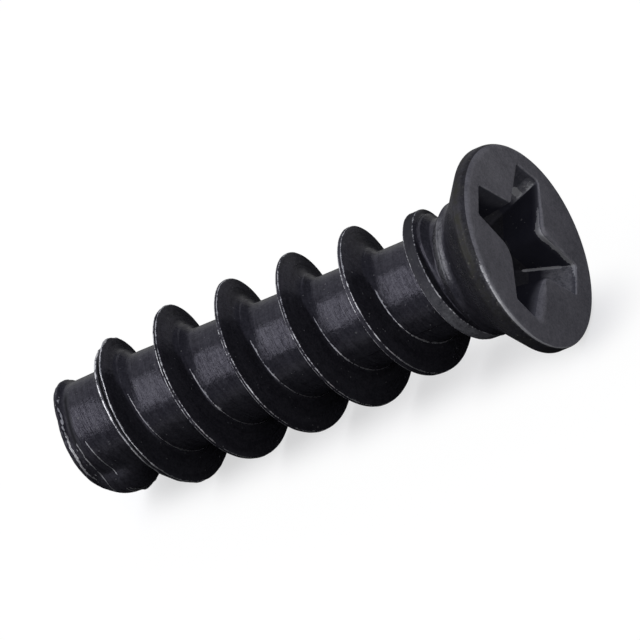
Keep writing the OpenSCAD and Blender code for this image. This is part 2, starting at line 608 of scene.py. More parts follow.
    def _declare(self, name: str, value: float | int | None, kind: str = "NodeSocketFloat") -> None:
        """Adds a named input.

        Args:
            name: The input's name.
            value: What the modifier sets it to.
            kind: The socket's type.
        """
        socket = self.tree.interface.new_socket(self._label(name), in_out="INPUT", socket_type=kind)
        self.identifiers[name] = socket.identifier
        self.values[name] = value

    def _named_sizes(self) -> dict[str, float]:
        """The screw's sizes that the tree takes as inputs.

        Returns:
            The sizes by their input names.
        """
        s = self.sizes
        return {
            "pitch": s.pitch,
            "crest_radius": s.crest_r,
            "core_radius": s.core_r,
            "crest_land": s.crest_land,
            "flank_slope": math.tan(math.radians(s.flank_angle)),
            "lead_in_start": s.lead_in_start,
            "lead_in_ramp": s.lead_in_ramp,
            "lead_in_radius": s.lead_in_r,
            "lead_in_turns": s.lead_in_turns,
            "lead_in_curve": s.lead_in_curve,
            "fold_depth": s.fold_depth,
            "fold_turns": s.fold_turns,
            "run_out_end": s.run_out_end,
            "run_out_turns": s.run_out_turns,
            "groove_rise": s.groove_rise_turns,
            "hidden_radius": s.hidden_r,
            "neck_radius": s.neck_r,
            "neck_foot": s.neck_z,
            "cone_foot": s.cone_z,
            "shoulder_slope": math.tan(math.radians(s.shoulder_angle)),
            "cone_slope": s.cone_slope,
            "tip_core_radius": s.tip_core_r,
            "tip_taper": s.tip_taper_length,
            "lip_radius": s.tip_lip_r,
            "lip_length": s.tip_lip_length,
            "lip_edge": s.tip_edge,
            "finish_height": s.cone_z + self.plan.join_above_cone,
        }

    def crest_radius(self, turns: Field) -> Field:
        """The crest's radius, growing at the tip and sinking at the neck.

        Args:
            turns: Turns from the end face.

        Returns:
            The radius.
        """
        given = self.given
        past = turns - given.lead_in_start
        ramp = (past / given.lead_in_ramp).kept()
        growing = (past / given.lead_in_turns).kept()
        grown = 1.0 - (1.0 - growing).power(given.lead_in_curve)
        lead_in = given.core_radius + (given.lead_in_radius - given.core_radius) * ramp
        lead_in = lead_in + (given.crest_radius - given.lead_in_radius) * grown
        sinking = (1.0 - (given.run_out_end - turns) / given.run_out_turns).kept()
        return lead_in.lowest(given.crest_radius - (given.crest_radius - given.hidden_radius) * sinking)

    def half_thickness(self, radius: Field) -> Field:
        """Half the thread's thickness at a radius."""
        given = self.given
        return given.crest_land * 0.5 + (given.crest_radius - radius) * given.flank_slope

    def unfinished(self, turns: Field) -> Field:
        """How unfinished the crest is, from 1 at the end face to 0."""
        return (1.0 - turns / self.given.fold_turns).kept()

    def row_height(self, row: Field, around: Field) -> Field:
        """Height of a row of the grid at an angle.

        Args:
            row: The row's number.
            around: The angle, as a share of a turn.

        Returns:
            The height above the end face.
        """
        plan = self.plan
        given = self.given
        winding_row = plan.cap_rows + plan.tip_rows
        winding = (row - float(winding_row)) / float(plan.rows_per_turn) - plan.turns_before
        whole_turn = winding.whole()
        turns = whole_turn + around
        past_crest = winding - whole_turn
        share = past_crest.size() * 2.0
        crest_edge = self.half_thickness(self.crest_radius(turns)) + self.lip_shift(turns, past_crest.sign())
        root = self.half_thickness(given.core_radius)
        stops = [
            crest_edge * 0.0,
            (crest_edge - self.EDGE_HALF).highest(crest_edge * self.LAND_SHARE),
            crest_edge + self.EDGE_HALF,
        ]
        stops.append((root - self.ROOT_REACH[0]).highest(stops[2] + self.LEAST_GAP))
        stops.append((root + self.ROOT_REACH[1]).highest(stops[3] + self.LEAST_GAP))
        stops.append(given.pitch * 0.5)
        off = stops[0]
        for before, after, low, high in zip(stops, stops[1:], self.ROW_STOPS, self.ROW_STOPS[1:]):
            off = off + (after - before) * share.gone(low, high)
        wound = given.pitch * turns + past_crest.sign() * off
        tip_part = ((row - float(plan.cap_rows)) / float(plan.tip_rows)).kept() * plan.tip_zone
        wound_part = wound.kept(plan.tip_zone, plan.neck_zone) - plan.tip_zone
        neck_row = float(winding_row + plan.helix_rows(self.sizes.pitch))
        neck_length = self.sizes.cone_z + plan.join_above_cone - plan.neck_zone
        neck_part = ((row - neck_row) / float(plan.neck_rows)).kept() * neck_length
        return tip_part + wound_part + neck_part

    def lip_shift(self, turns: Field, side: Value) -> Field:
        """How far the unfinished crest's lip lies outside the finished one, on the side of the tip only.

        Args:
            turns: Turns from the end face.
            side: The side of the crest, -1 or 1.

        Returns:
            The distance along the axis.
        """
        given = self.given
        unfinished = self.unfinished(turns) * (0.5 - side * 0.5)
        return unfinished * (given.lip_spread + given.lip_drop * unfinished * given.flank_slope)

    def ragged(self, turns: Field, lip: Field) -> Field:
        """How far a crest's lip stands off its true height.

        Args:
            turns: Turns from the end face.
            lip: The side of the crest, -1 or 1.

        Returns:
            The distance.
        """
        given = self.given
        around, across = self.RAGGED_WAVES
        waves = noise(joined_vector(turns * around, lip * across, given.seed), 1.0)
        around, across = self.RAGGED_CHIPS
        chips = noise(joined_vector(turns * around, lip * across, given.seed + 3.0), 1.0)
        started = ((turns - given.lead_in_start) / given.lead_in_ramp).kept()
        share = self.unfinished(turns) * self.RAGGED_EXTRA + self.RAGGED_LEAST
        return ((waves - 0.5) * 2.0 + (chips - 0.5)) * (given.raggedness * share * started)

    def _build(self) -> None:
        """Lays out all nodes: the grid, its attributes, its place, the join to the head and the finish."""
        given = self.given
        columns = given.columns
        rows = given.rows
        grid = self._node("GeometryNodeMeshGrid", {
            "Size X": columns,
            "Size Y": rows - 1.0,
            "Vertices X": columns + 1.0,
            "Vertices Y": rows,
        })
        x, y, _ = parts_of(self._node("GeometryNodeInputPosition").outputs[0])
        around = (x + columns * 0.5) / columns
        row = (y + (rows - 1.0) * 0.5).whole()
        shank = self._surface(grid.outputs["Mesh"], self._place(row, around))
        joined = self._node("GeometryNodeJoinGeometry", {0: self.inputs.outputs["Geometry"]})
        feed(shank, joined.inputs[0])
        distance = {"Geometry": joined.outputs[0], "Distance": self.MERGE_DISTANCE}
        merged = self._node("GeometryNodeMergeByDistance", distance)
        smooth = self._node("GeometryNodeSetShadeSmooth", {"Geometry": merged.outputs[0]})
        realized = self._node("GeometryNodeRealizeInstances", {0: smooth.outputs[0]})
        height = parts_of(self._node("GeometryNodeInputPosition").outputs[0])[2]
        finish = self._node("GeometryNodeSetMaterial", {
            "Geometry": realized.outputs[0],
            "Selection": given.finish_height - height,
            "Material": given.material,
        })
        self._node("NodeGroupOutput", {0: finish.outputs[0]})

    def _node(self, kind: str, inputs: dict[str | int, Any] | None = None, **settings: str) -> Node:
        """Adds a node to the tree."""
        return added(self.tree, kind, inputs, **settings)

    def _place(self, row: Field, around: Field) -> ShankPlace:
        """Works out where a point of the grid is.

        Args:
            row: The row's number.
            around: The angle, as a share of a turn.

        Returns:
            The place.
        """
        given = self.given
        z = self.row_height(row, around)
        angle = around * math.tau
        turns = (z / given.pitch - around).whole() + around
        off = z - given.pitch * turns
        crest_r = self.crest_radius(turns)
        pinched = joined_vector(
            angle.cosine() * self.PINCH_AROUND,
            angle.sine() * self.PINCH_AROUND,
            z * self.PINCH_ALONG + given.seed,
        )
        along, across = self.FLECK_SCALE
        return ShankPlace(
            around=around,
            z=z,
            angle=angle,
            inward=(row / float(self.plan.cap_rows)).kept(),
            turns=turns,
            off=off,
            crest_r=crest_r,
            land=self.half_thickness(crest_r),
            past_root=off.size() - self.half_thickness(given.core_radius),
            unfinished=self.unfinished(turns),
            pinch=noise(pinched, 1.0) - 0.5,
            flecks=noise(joined_vector(turns * along, off * across, given.seed), 1.0) - 0.5,
        )

    def _crest(self, at: ShankPlace) -> Field:
        """Radius of the thread, with its folded and ragged lips near the tip.

        Args:
            at: The place.

        Returns:
            The radius.
        """
        given = self.given
        lip_side = (at.off / (at.land * self.LIP_SIDE)).kept(-1.0, 1.0)
        fold = given.fold_depth * at.unfinished * given.fold_deepening
        drop = given.lip_drop * at.unfinished * at.unfinished * (0.5 - lip_side * 0.5)
        creased = (at.off / at.land).close_to(at.unfinished * self.CREASE_SHIFT, self.CREASE_HALF)
        top = at.crest_r - fold * creased - drop + self.ragged(at.turns, lip_side)
        spread = given.lip_spread * at.unfinished * (0.5 - at.off.sign() * 0.5)
        past_land = at.off.size() - given.crest_land * 0.5 - spread
        tent = given.crest_radius - past_land / given.flank_slope
        return tent.soft_lowest(top, self.CREST_BLEND)

    def _groove(self, at: ShankPlace) -> Field:
        """Radius of the core between the threads.

        Args:
            at: The place.

        Returns:
            The radius.
        """
        given = self.given
        groove_turns = at.turns + at.off.sign() * 0.5
        rising = (1.0 - (given.run_out_end - groove_turns) / given.groove_rise).kept()
        tapering = (1.0 - at.z / given.tip_taper).kept()
        top, foot = self.SWELL_Z
        swollen = given.core_swell * (top - at.z.highest(foot)) * (at.z / foot).kept()
        tapered = given.core_radius - (given.core_radius - given.tip_core_radius) * tapering
        return tapered + (given.hidden_radius - given.core_radius) * rising + swollen

    def _foot(self, at: ShankPlace, groove: Field) -> Field:
        """Radius of the rounded foot of each flank.

        Args:
            at: The place.
            groove: Radius of the groove there.

        Returns:
            The radius.
        """
        given = self.given
        upper = at.angle.facing(*self.FOOT_FACING) * (1.0 - self.FOOT_LEAST) + self.FOOT_LEAST
        side = at.off.sign() * self.FOOT_SIDE + (1.0 - self.FOOT_SIDE)
        share = (1.0 - at.past_root / given.foot_length).kept() * side * upper
        return groove + given.foot_height * share * ((at.crest_r - groove) / self.FOOT_FADE).kept()

    def _neck(self, at: ShankPlace) -> Field:
        """Radius of the shoulder, the neck with its laps, and the cone.

        Args:
            at: The place.

        Returns:
            The radius.
        """
        given = self.given
        shoulder = given.neck_radius - (given.neck_foot - at.z) * given.shoulder_slope
        cone = given.neck_radius + (at.z - given.cone_foot) * given.cone_slope
        neck = shoulder.soft_lowest(given.neck_radius, self.SHOULDER_BLEND)
        neck = neck.soft_highest(cone, self.NECK_BLEND)
        lower, upper = [(at.z - given.neck_foot).close_to(middle, half) for middle, half in self.LAPS]
        return neck + given.neck_laps * (lower + upper)

    def _lip(self, at: ShankPlace) -> Field:
        """Radius of the tip's pinched lip.

        Args:
            at: The place.

        Returns:
            The radius.
        """
        given = self.given
        half = given.lip_length * 0.5
        fall = (given.lip_radius - given.tip_core_radius) / half * self.LIP_STEEPNESS
        return given.lip_radius - (at.z - half * self.LIP_CROWN).highest(0.0) * fall

    def _swell(self, at: ShankPlace) -> Field:
        """Radius of the swollen run beside the thread's start.

        Args:
            at: The place.

        Returns:
            The radius.
        """
        given = self.given
        past = at.z - self.START_Z
        swell = given.start_swell - past * past * self.START_CURVE
        return given.tip_core_radius + (swell - given.tip_core_radius) * at.angle.facing(*self.START_FACING)

    def _end_height(self, at: ShankPlace) -> Field:
        """Height of a point, with the end face dished and skewed.

        Args:
            at: The place.

        Returns:
            The height.
        """
        given = self.given
        bulges = []
        strengths = (given.left_bulge, given.upper_bulge)
        for strength, (turn, end) in zip(strengths, (self.LEFT_BULGE, self.UPPER_BULGE)):
            towards = (at.angle - math.radians(turn)).cosine().highest(0.0)
            bulges.append(strength * towards * (1.0 - at.z / end).kept())
        bulge = (bulges[0] + bulges[1]) * at.inward
        return at.z + given.dish * (1.0 - at.inward * at.inward) - bulge

    def _worn_lines(self, at: ShankPlace, standing: Field, rim_only: Field) -> Field:
        """The bright lines along the crests and the end's lip, and the painted highlight along the roots.

        Args:
            at: The place.
            standing: Where the crest stands clear of the core and the neck.
            rim_only: 1 on the shank and 0 on the end face.

        Returns:
            How near the place is to a worn edge, and to the painted highlight along the roots.
        """
        past_edge = at.off.size() - at.land - self.lip_shift(at.turns, at.off.sign())
        widening = at.unfinished * (0.5 - at.off.sign() * 0.5) * self.LIP_WIDENING
        edge = (past_edge + widening).close_to(-self.EDGE_INSET, widening + self.EDGE_LINE_HALF)
        broken = at.flecks * self.FLECK_STRENGTH * at.unfinished
        edge = edge * standing * (broken + at.unfinished * self.EDGE_EXTRA + self.EDGE_STRENGTH)
        # Painted highlight along one side of each root, on the side of the shank that faces one way
        root = at.past_root.close_to(*self.ROOT_LINE) * at.angle.facing(*self.ROOT_LINE_FACING)
        root = root * self.ROOT_LINE_STRENGTH * at.turns.gone(*self.ROOT_LINE_END)
        edge = edge.highest(root * (at.off.sign() * 0.5 + 0.5) * standing)
        around, along = self.END_FLECK_SCALE
        flecked = joined_vector(at.angle.cosine() * around, at.angle.sine() * around, at.z * along)
        flecks = (noise(flecked, 1.0) - 0.5) * self.END_FLECKS + 1.0
        lip = self.END_LINE.share(at).highest(self.INNER_LINE.share(at)) * flecks
        ridges = (at.pinch * self.RIDGE_GAIN - self.RIDGE_LEVEL).kept()
        ridges = ridges * at.z.gone(self.END_ZONE, self.END_ZONE / 2) * self.RIDGE_STRENGTH
        return edge.highest(lip.highest(ridges) * rim_only)

    def _grime(self, at: ShankPlace, standing: Field, on_land: Field) -> Field:
        """The tarnish on the last crests and the end, and the painted shade in the fold of the first crest.

        Args:
            at: The place.
            standing: Where the crest stands clear of the core and the neck.
            on_land: Where the top of a clear crest is.

        Returns:
            How tarnished the place is, above 1 where it is darkened nearly black.
        """
        grime = at.turns.gone(*self.GRIMY_TURNS) * on_land
        grime = grime + at.turns.close_to(*self.GRIMIEST_TURN) * on_land * self.GRIMIEST
        # Painted shade in the fold of the first crest
        tip_shift = self.lip_shift(at.turns, -1.0)
        fold = at.off.close_to(tip_shift * self.CREASE_MIDDLE, tip_shift * 0.5 + self.CREASE_MARGIN)
        fold = (fold * self.CREASE_FADE).kept() * (at.unfinished * self.CREASE_FADE).kept() * standing
        fold = fold * (at.flecks * self.CREASE_FLECKS + self.CREASE_GRIME)
        return grime.highest(self.END_GRIME.share(at)).highest(fold)

    def _surface(self, mesh: Socket, at: ShankPlace) -> Socket:
        """Wraps the grid round the axis and stores what its finish needs.

        Args:
            mesh: The flat grid.
            at: The place of its points.

        Returns:
            The wrapped mesh's socket.
        """
        given = self.given
        groove = self._groove(at)
        neck = self._neck(at)
        radius = self._crest(at).soft_highest(self._foot(at, groove), self.ROOT_BLEND)
        radius = radius.soft_highest(neck, self.SEAM_BLEND).soft_highest(self._lip(at), self.LIP_BLEND)
        radius = radius.soft_highest(self._swell(at), self.SWELL_BLEND)
        radius = radius + given.crumpling * at.pinch * at.z.gone(self.END_ZONE, 0.0)
        edge = (1.0 - at.z / given.lip_edge).kept()
        radius = (radius - given.lip_edge * edge * edge) * at.inward
        position = joined_vector(at.angle.cosine() * radius, at.angle.sine() * radius, self._end_height(at))

        rim_only = at.inward.gone(1.0 - 1.0 / self.plan.cap_rows, 1.0)
        standing = ((at.crest_r - groove) / self.STANDING_CLEAR).kept() * rim_only
        standing = standing * ((at.crest_r - neck) / self.SUNK + 1.0).kept()
        on_land = ((at.land - at.off.size()) / self.LAND_MARGIN).kept() * standing
        # Scuffs on the last crests' lands, and the painted highlight on the neck
        scuff = (at.turns.gone(*self.SCUFFED_TURNS) * on_land).highest(self.NECK_PATCH.share(at))
        seam = self.SEAM
        seam_share = at.angle.facing(seam.turn, seam.least, seam.full) * at.z.gone(*self.SEAM_END)
        strand = (at.z / given.pitch - at.around) * math.tau
        across = self.PATH_RADIUS
        path = joined_vector(strand.cosine() * across, strand.sine() * across, at.z * self.PATH_ALONG)
        for name, kind, value in (
            ("wear_and_highlight", "FLOAT", self._worn_lines(at, standing, rim_only)),
            ("scuff", "FLOAT", scuff),
            ("grime", "FLOAT", self._grime(at, standing, on_land)),
            ("seam_line", "FLOAT_VECTOR", joined_vector(seam.above(at), seam_share, 0.0)),
            ("roll_path", "FLOAT_VECTOR", path),
        ):
            inputs = {"Geometry": mesh, "Name": name, "Value": value}
            store = self._node("GeometryNodeStoreNamedAttribute", inputs, data_type=kind, domain="POINT")
            mesh = store.outputs[0]
        return self._node("GeometryNodeSetPosition", {"Geometry": mesh, "Position": position}).outputs[0]

    def attach(self, piece: bpy.types.Object) -> bpy.types.NodesModifier:
        """Puts the tree on an object and sets its inputs.

        Args:
            piece: The object whose mesh is the head.

        Returns:
            The modifier.
        """
        modifier = piece.modifiers.new("threaded_shank", "NODES")
        modifier.node_group = self.tree
        for name, value in self.values.items():
            modifier[self.identifiers[name]] = value
        return modifier


def turned(points: np.ndarray, degrees: float) -> np.ndarray:
    """Points of a plane, turned about its origin.

    Args:
        points: The points.
        degrees: The angle.

    Returns:
        The turned points.
    """
    angle = math.radians(degrees)
    matrix = np.array([[math.cos(angle), math.sin(angle)], [-math.sin(angle), math.cos(angle)]])
    return points @ matrix


def corner_arc(a: np.ndarray, b: np.ndarray, c: np.ndarray, radius: float, steps: int) -> np.ndarray:
    """The arc that rounds the corner at b between the lines to a and c.

    Args:
        a: A point on the line before the corner.
        b: The corner.
        c: A point on the line after it.
        radius: The arc's radius.
        steps: Its segments.

    Returns:
        The arc's points in order.
    """
    to_a = (a - b) / np.linalg.norm(a - b)
    to_c = (c - b) / np.linalg.norm(c - b)
    half = math.acos(float(np.clip(to_a @ to_c, -1, 1))) / 2
    inward = to_a + to_c
    middle = b + inward / np.linalg.norm(inward) * radius / math.sin(half)
    start = b + to_a * radius / math.tan(half) - middle
    sweep = (180 - 2 * math.degrees(half)) * np.sign(start[0] * to_c[1] - start[1] * to_c[0])
    return np.array([middle + turned(start, sweep * i / steps) for i in range(steps + 1)])


def line_inside(a: np.ndarray, b: np.ndarray, steps: int) -> np.ndarray:
    """The points that divide a line into equal steps, without its ends."""
    shares = np.arange(1, steps)[:, None] / steps
    return a + (b - a) * shares


class RingStack:
    """Rings of points, all with the same count, that are skinned into a mesh from the first to the last."""

    def __init__(self, count: int) -> None:
        """Starts with no rings of so many points each.

        Args:
            count: How many points each ring has.
        """
        self.count = count
        self.points: list[np.ndarray] = []
        self.slots: list[int] = []
        self.values: dict[str, list[np.ndarray]] = {"wear_and_highlight": [], "grime": [], "scuff": []}

    def _each(self, value: np.ndarray | float) -> np.ndarray:
        """A value for each point of a ring."""
        return np.broadcast_to(np.asarray(value, float), (self.count,))

    def add(
        self,
        across: np.ndarray,
        z: np.ndarray | float,
        wear: np.ndarray | float = 0.0,
        slot: int = 0,
        grime: np.ndarray | float = 0.0,
        scuff: np.ndarray | float = 0.0,
    ) -> None:
        """Adds a ring.

        Args:
            across: The points square to the axis.
            z: Their heights.
            wear: How near each is to a worn edge, from 0 to 1.
            slot: Material slot of the faces that end in this ring.
            grime: Its tarnish and its painted shade, above 1 where it is darkened nearly black.
            scuff: How rubbed pale each is and how much painted light it carries, from 0 to 1.
        """
        self.points.append(np.column_stack([across, self._each(z)]))
        self.slots.append(slot)
        for name, value in (("wear_and_highlight", wear), ("grime", grime), ("scuff", scuff)):
            self.values[name].append(self._each(value))

    def mesh(self, name: str, pole: Sequence[float]) -> bpy.types.Mesh:
        """Skins the rings and closes the last one with a pole.

        Args:
            name: The mesh's name.
            pole: The pole's place.

        Returns:
            The mesh, open at its first ring.
        """
        count = self.count
        points = np.vstack([*self.points, np.array([pole])])
        faces = []
        for high in range(count, len(points) - 1, count):
            low = high - count
            for i in range(count):
                following = (i + 1) % count
                faces.append((low + i, low + following, high + following, high + i))
        last = len(points) - 1 - count
        faces += [(last + i, last + (i + 1) % count, len(points) - 1) for i in range(count)]
        mesh = bpy.data.meshes.new(name)
        mesh.from_pydata(points.tolist(), [], faces)
        mesh.polygons.foreach_set("material_index", np.repeat([*self.slots[1:], self.slots[-1]], count))
        for attribute, values in self.values.items():
            layer = mesh.attributes.new(attribute, "FLOAT", "POINT")
            layer.data.foreach_set("value", np.append(np.concatenate(values), 0.0))
        return mesh

    def eased_off(self, rings: int, drop: float, shift: np.ndarray, shrink: float) -> None:
        """Moves and shrinks the stack, not at all at its first ring and fully from a later ring on.

        Args:
            rings: The first ring that moves fully.
            drop: How far it moves down.
            shift: How far it moves sideways.
            shrink: By what share it shrinks sideways.
        """
        for index, ring in enumerate(self.points):
            share = min(index / rings, 1)
            ring[:, :2] = ring[:, :2] * (1 - shrink * share) + shift * share
            ring[:, 2] -= drop * share


@dataclass(frozen=True)
class CrossRecess:
    """The cross recess, punched a little off the middle of the head.

    Its wings and its inner corners are numbered round from the one at the recess's own turn.
    """

    sizes: ScrewSizes
    columns: int = COLUMNS
    corner_steps: int = 4
    inner_steps: int = 6
    end_steps: int = 8
    wall_rings: int = 16
    floor_fillet: float = 0.12
    inner_radii: tuple[float, float, float, float] = (0.62, 0.34, 0.34, 0.14)
    corner_pulls: tuple[float, float, float, float] = (0.0, 0.0, 0.12, 0.0)
    first_column_reach: float = 2.3

    @property
    def middle(self) -> np.ndarray:
        """Where the recess is centred."""
        angle = math.radians(self.sizes.recess_offset_turn)
        return np.array([math.cos(angle), math.sin(angle)]) * self.sizes.recess_offset

    @property
    def flank_steps(self) -> int:
        """Segments of each side of a wing."""
        return (self.columns // 4 - 2 * self.corner_steps - self.inner_steps - self.end_steps) // 2

    @property
    def last_end_column(self) -> int:
        """The last column on a wing's end wall."""
        return 2 * self.corner_steps + self.end_steps - 3

    def outline(self, depth: float) -> np.ndarray:
        """The cross at a depth below the face, with its points in step with the head's own.

        Args:
            depth: The depth in millimetres.

        Returns:
            The points square to the axis.
        """
        s = self.sizes
        reach = s.recess_reach - depth * math.tan(math.radians(s.wing_taper))
        inner = s.corner_reach - depth * math.tan(math.radians(s.corner_draft))
        half = s.wing_width / 2
        low_end = np.array([reach, -half])
        high_end = np.array([reach, half])
        next_end = turned(low_end, 90)
        corners = [turned(np.array([inner - pull, 0.0]), 45) for pull in self.corner_pulls]
        starts = [
            corner_arc(turned(corner, -90), low_end, high_end, s.wing_corner_r, self.corner_steps)
            for corner in (corners[-1], *corners[:-1])
        ]
        wings = []
        for k, inner_r in enumerate(self.inner_radii):
            second = corner_arc(low_end, high_end, corners[k], s.wing_corner_r, self.corner_steps)
            inner_arc = corner_arc(high_end, corners[k], next_end, inner_r, self.inner_steps)
            next_start = turned(starts[(k + 1) % len(starts)][0], 90)
            wing = np.vstack([
                starts[k],
                line_inside(starts[k][-1], second[0], self.end_steps),
                second,
                line_inside(second[-1], inner_arc[0], self.flank_steps),
                inner_arc,
                line_inside(inner_arc[-1], next_start, self.flank_steps),
            ])
            wings.append(turned(wing, 90 * k))
        placed = turned(np.vstack(wings), s.recess_turn) + self.middle
        return np.roll(placed, self.shift, axis=0)

    @property
    def shift(self) -> int:
        """Column of the head at which the outline's first point lies."""
        half_wing = math.degrees(math.atan2(self.sizes.wing_width / 2, self.first_column_reach))
        return round((self.sizes.recess_turn - half_wing) / 360 * self.columns)

    def columns_of(self, wing: int, first: int, last: int) -> np.ndarray:
        """Marks some of the head's columns by their place in a wing.

        Args:
            wing: The wing's number.
            first: First point within the wing.
            last: Last point within the wing.

        Returns:
            1 on those columns and 0 elsewhere.
        """
        marks = np.zeros(self.columns)
        start = wing * self.columns // 4
        marks[start + first : start + last + 1] = 1
        return np.roll(marks, self.shift)

    def at(self, depth: np.ndarray) -> np.ndarray:
        """The outline with a depth of its own at each point.

        Args:
            depth: The depths below the face.

        Returns:
            The points square to the axis.
        """
        wall_end = self.sizes.wing_depth - self.floor_fillet
        top = self.outline(0)
        return top + (self.outline(wall_end) - top) * (depth / wall_end)[:, None]

    def outward(self, outline: np.ndarray) -> np.ndarray:
        """The directions that lead from an outline into the metal round it.

        Args:
            outline: The points of the outline.

        Returns:
            A direction for each point.
        """
        along = np.roll(outline, -1, axis=0) - np.roll(outline, 1, axis=0)
        normal = np.column_stack([along[:, 1], -along[:, 0]])
        return normal / np.linalg.norm(normal, axis=1)[:, None]

    def edge_share(self, turn: float, spread: float) -> np.ndarray:
        """How near the points of the recess's edge are to a direction from its middle.

        Args:
            turn: The direction, in degrees from the start of the thread.
            spread: Degrees to either side over which the share falls to nothing.

        Returns:
            A share from 0 to 1 for each point.
        """
        around = np.degrees(np.arctan2(*(self.outline(0) - self.middle).T[::-1]))
        off = np.abs((around - turn + 180) % 360 - 180)
        return np.clip(1 - off / spread, 0, 1)


@dataclass(frozen=True)
class WallMark:
    """A stretch of the recess's wall, by its columns in a wing and its shares of the wall's height."""

    wing: int
    first: int
    last: int
    strength: float
    top: float = 0.0
    foot: float = 1.0

    def at(self, recess: CrossRecess, share: float) -> np.ndarray:
        """The mark's strength at each column, for a share of the wall's height."""
        strength = self.strength if self.top < share <= self.foot else 0.0
        return recess.columns_of(self.wing, self.first, self.last) * strength


# The wings that point right and up from the middle of the head in the main view
RIGHT_WING = 2
UPPER_WING = 3


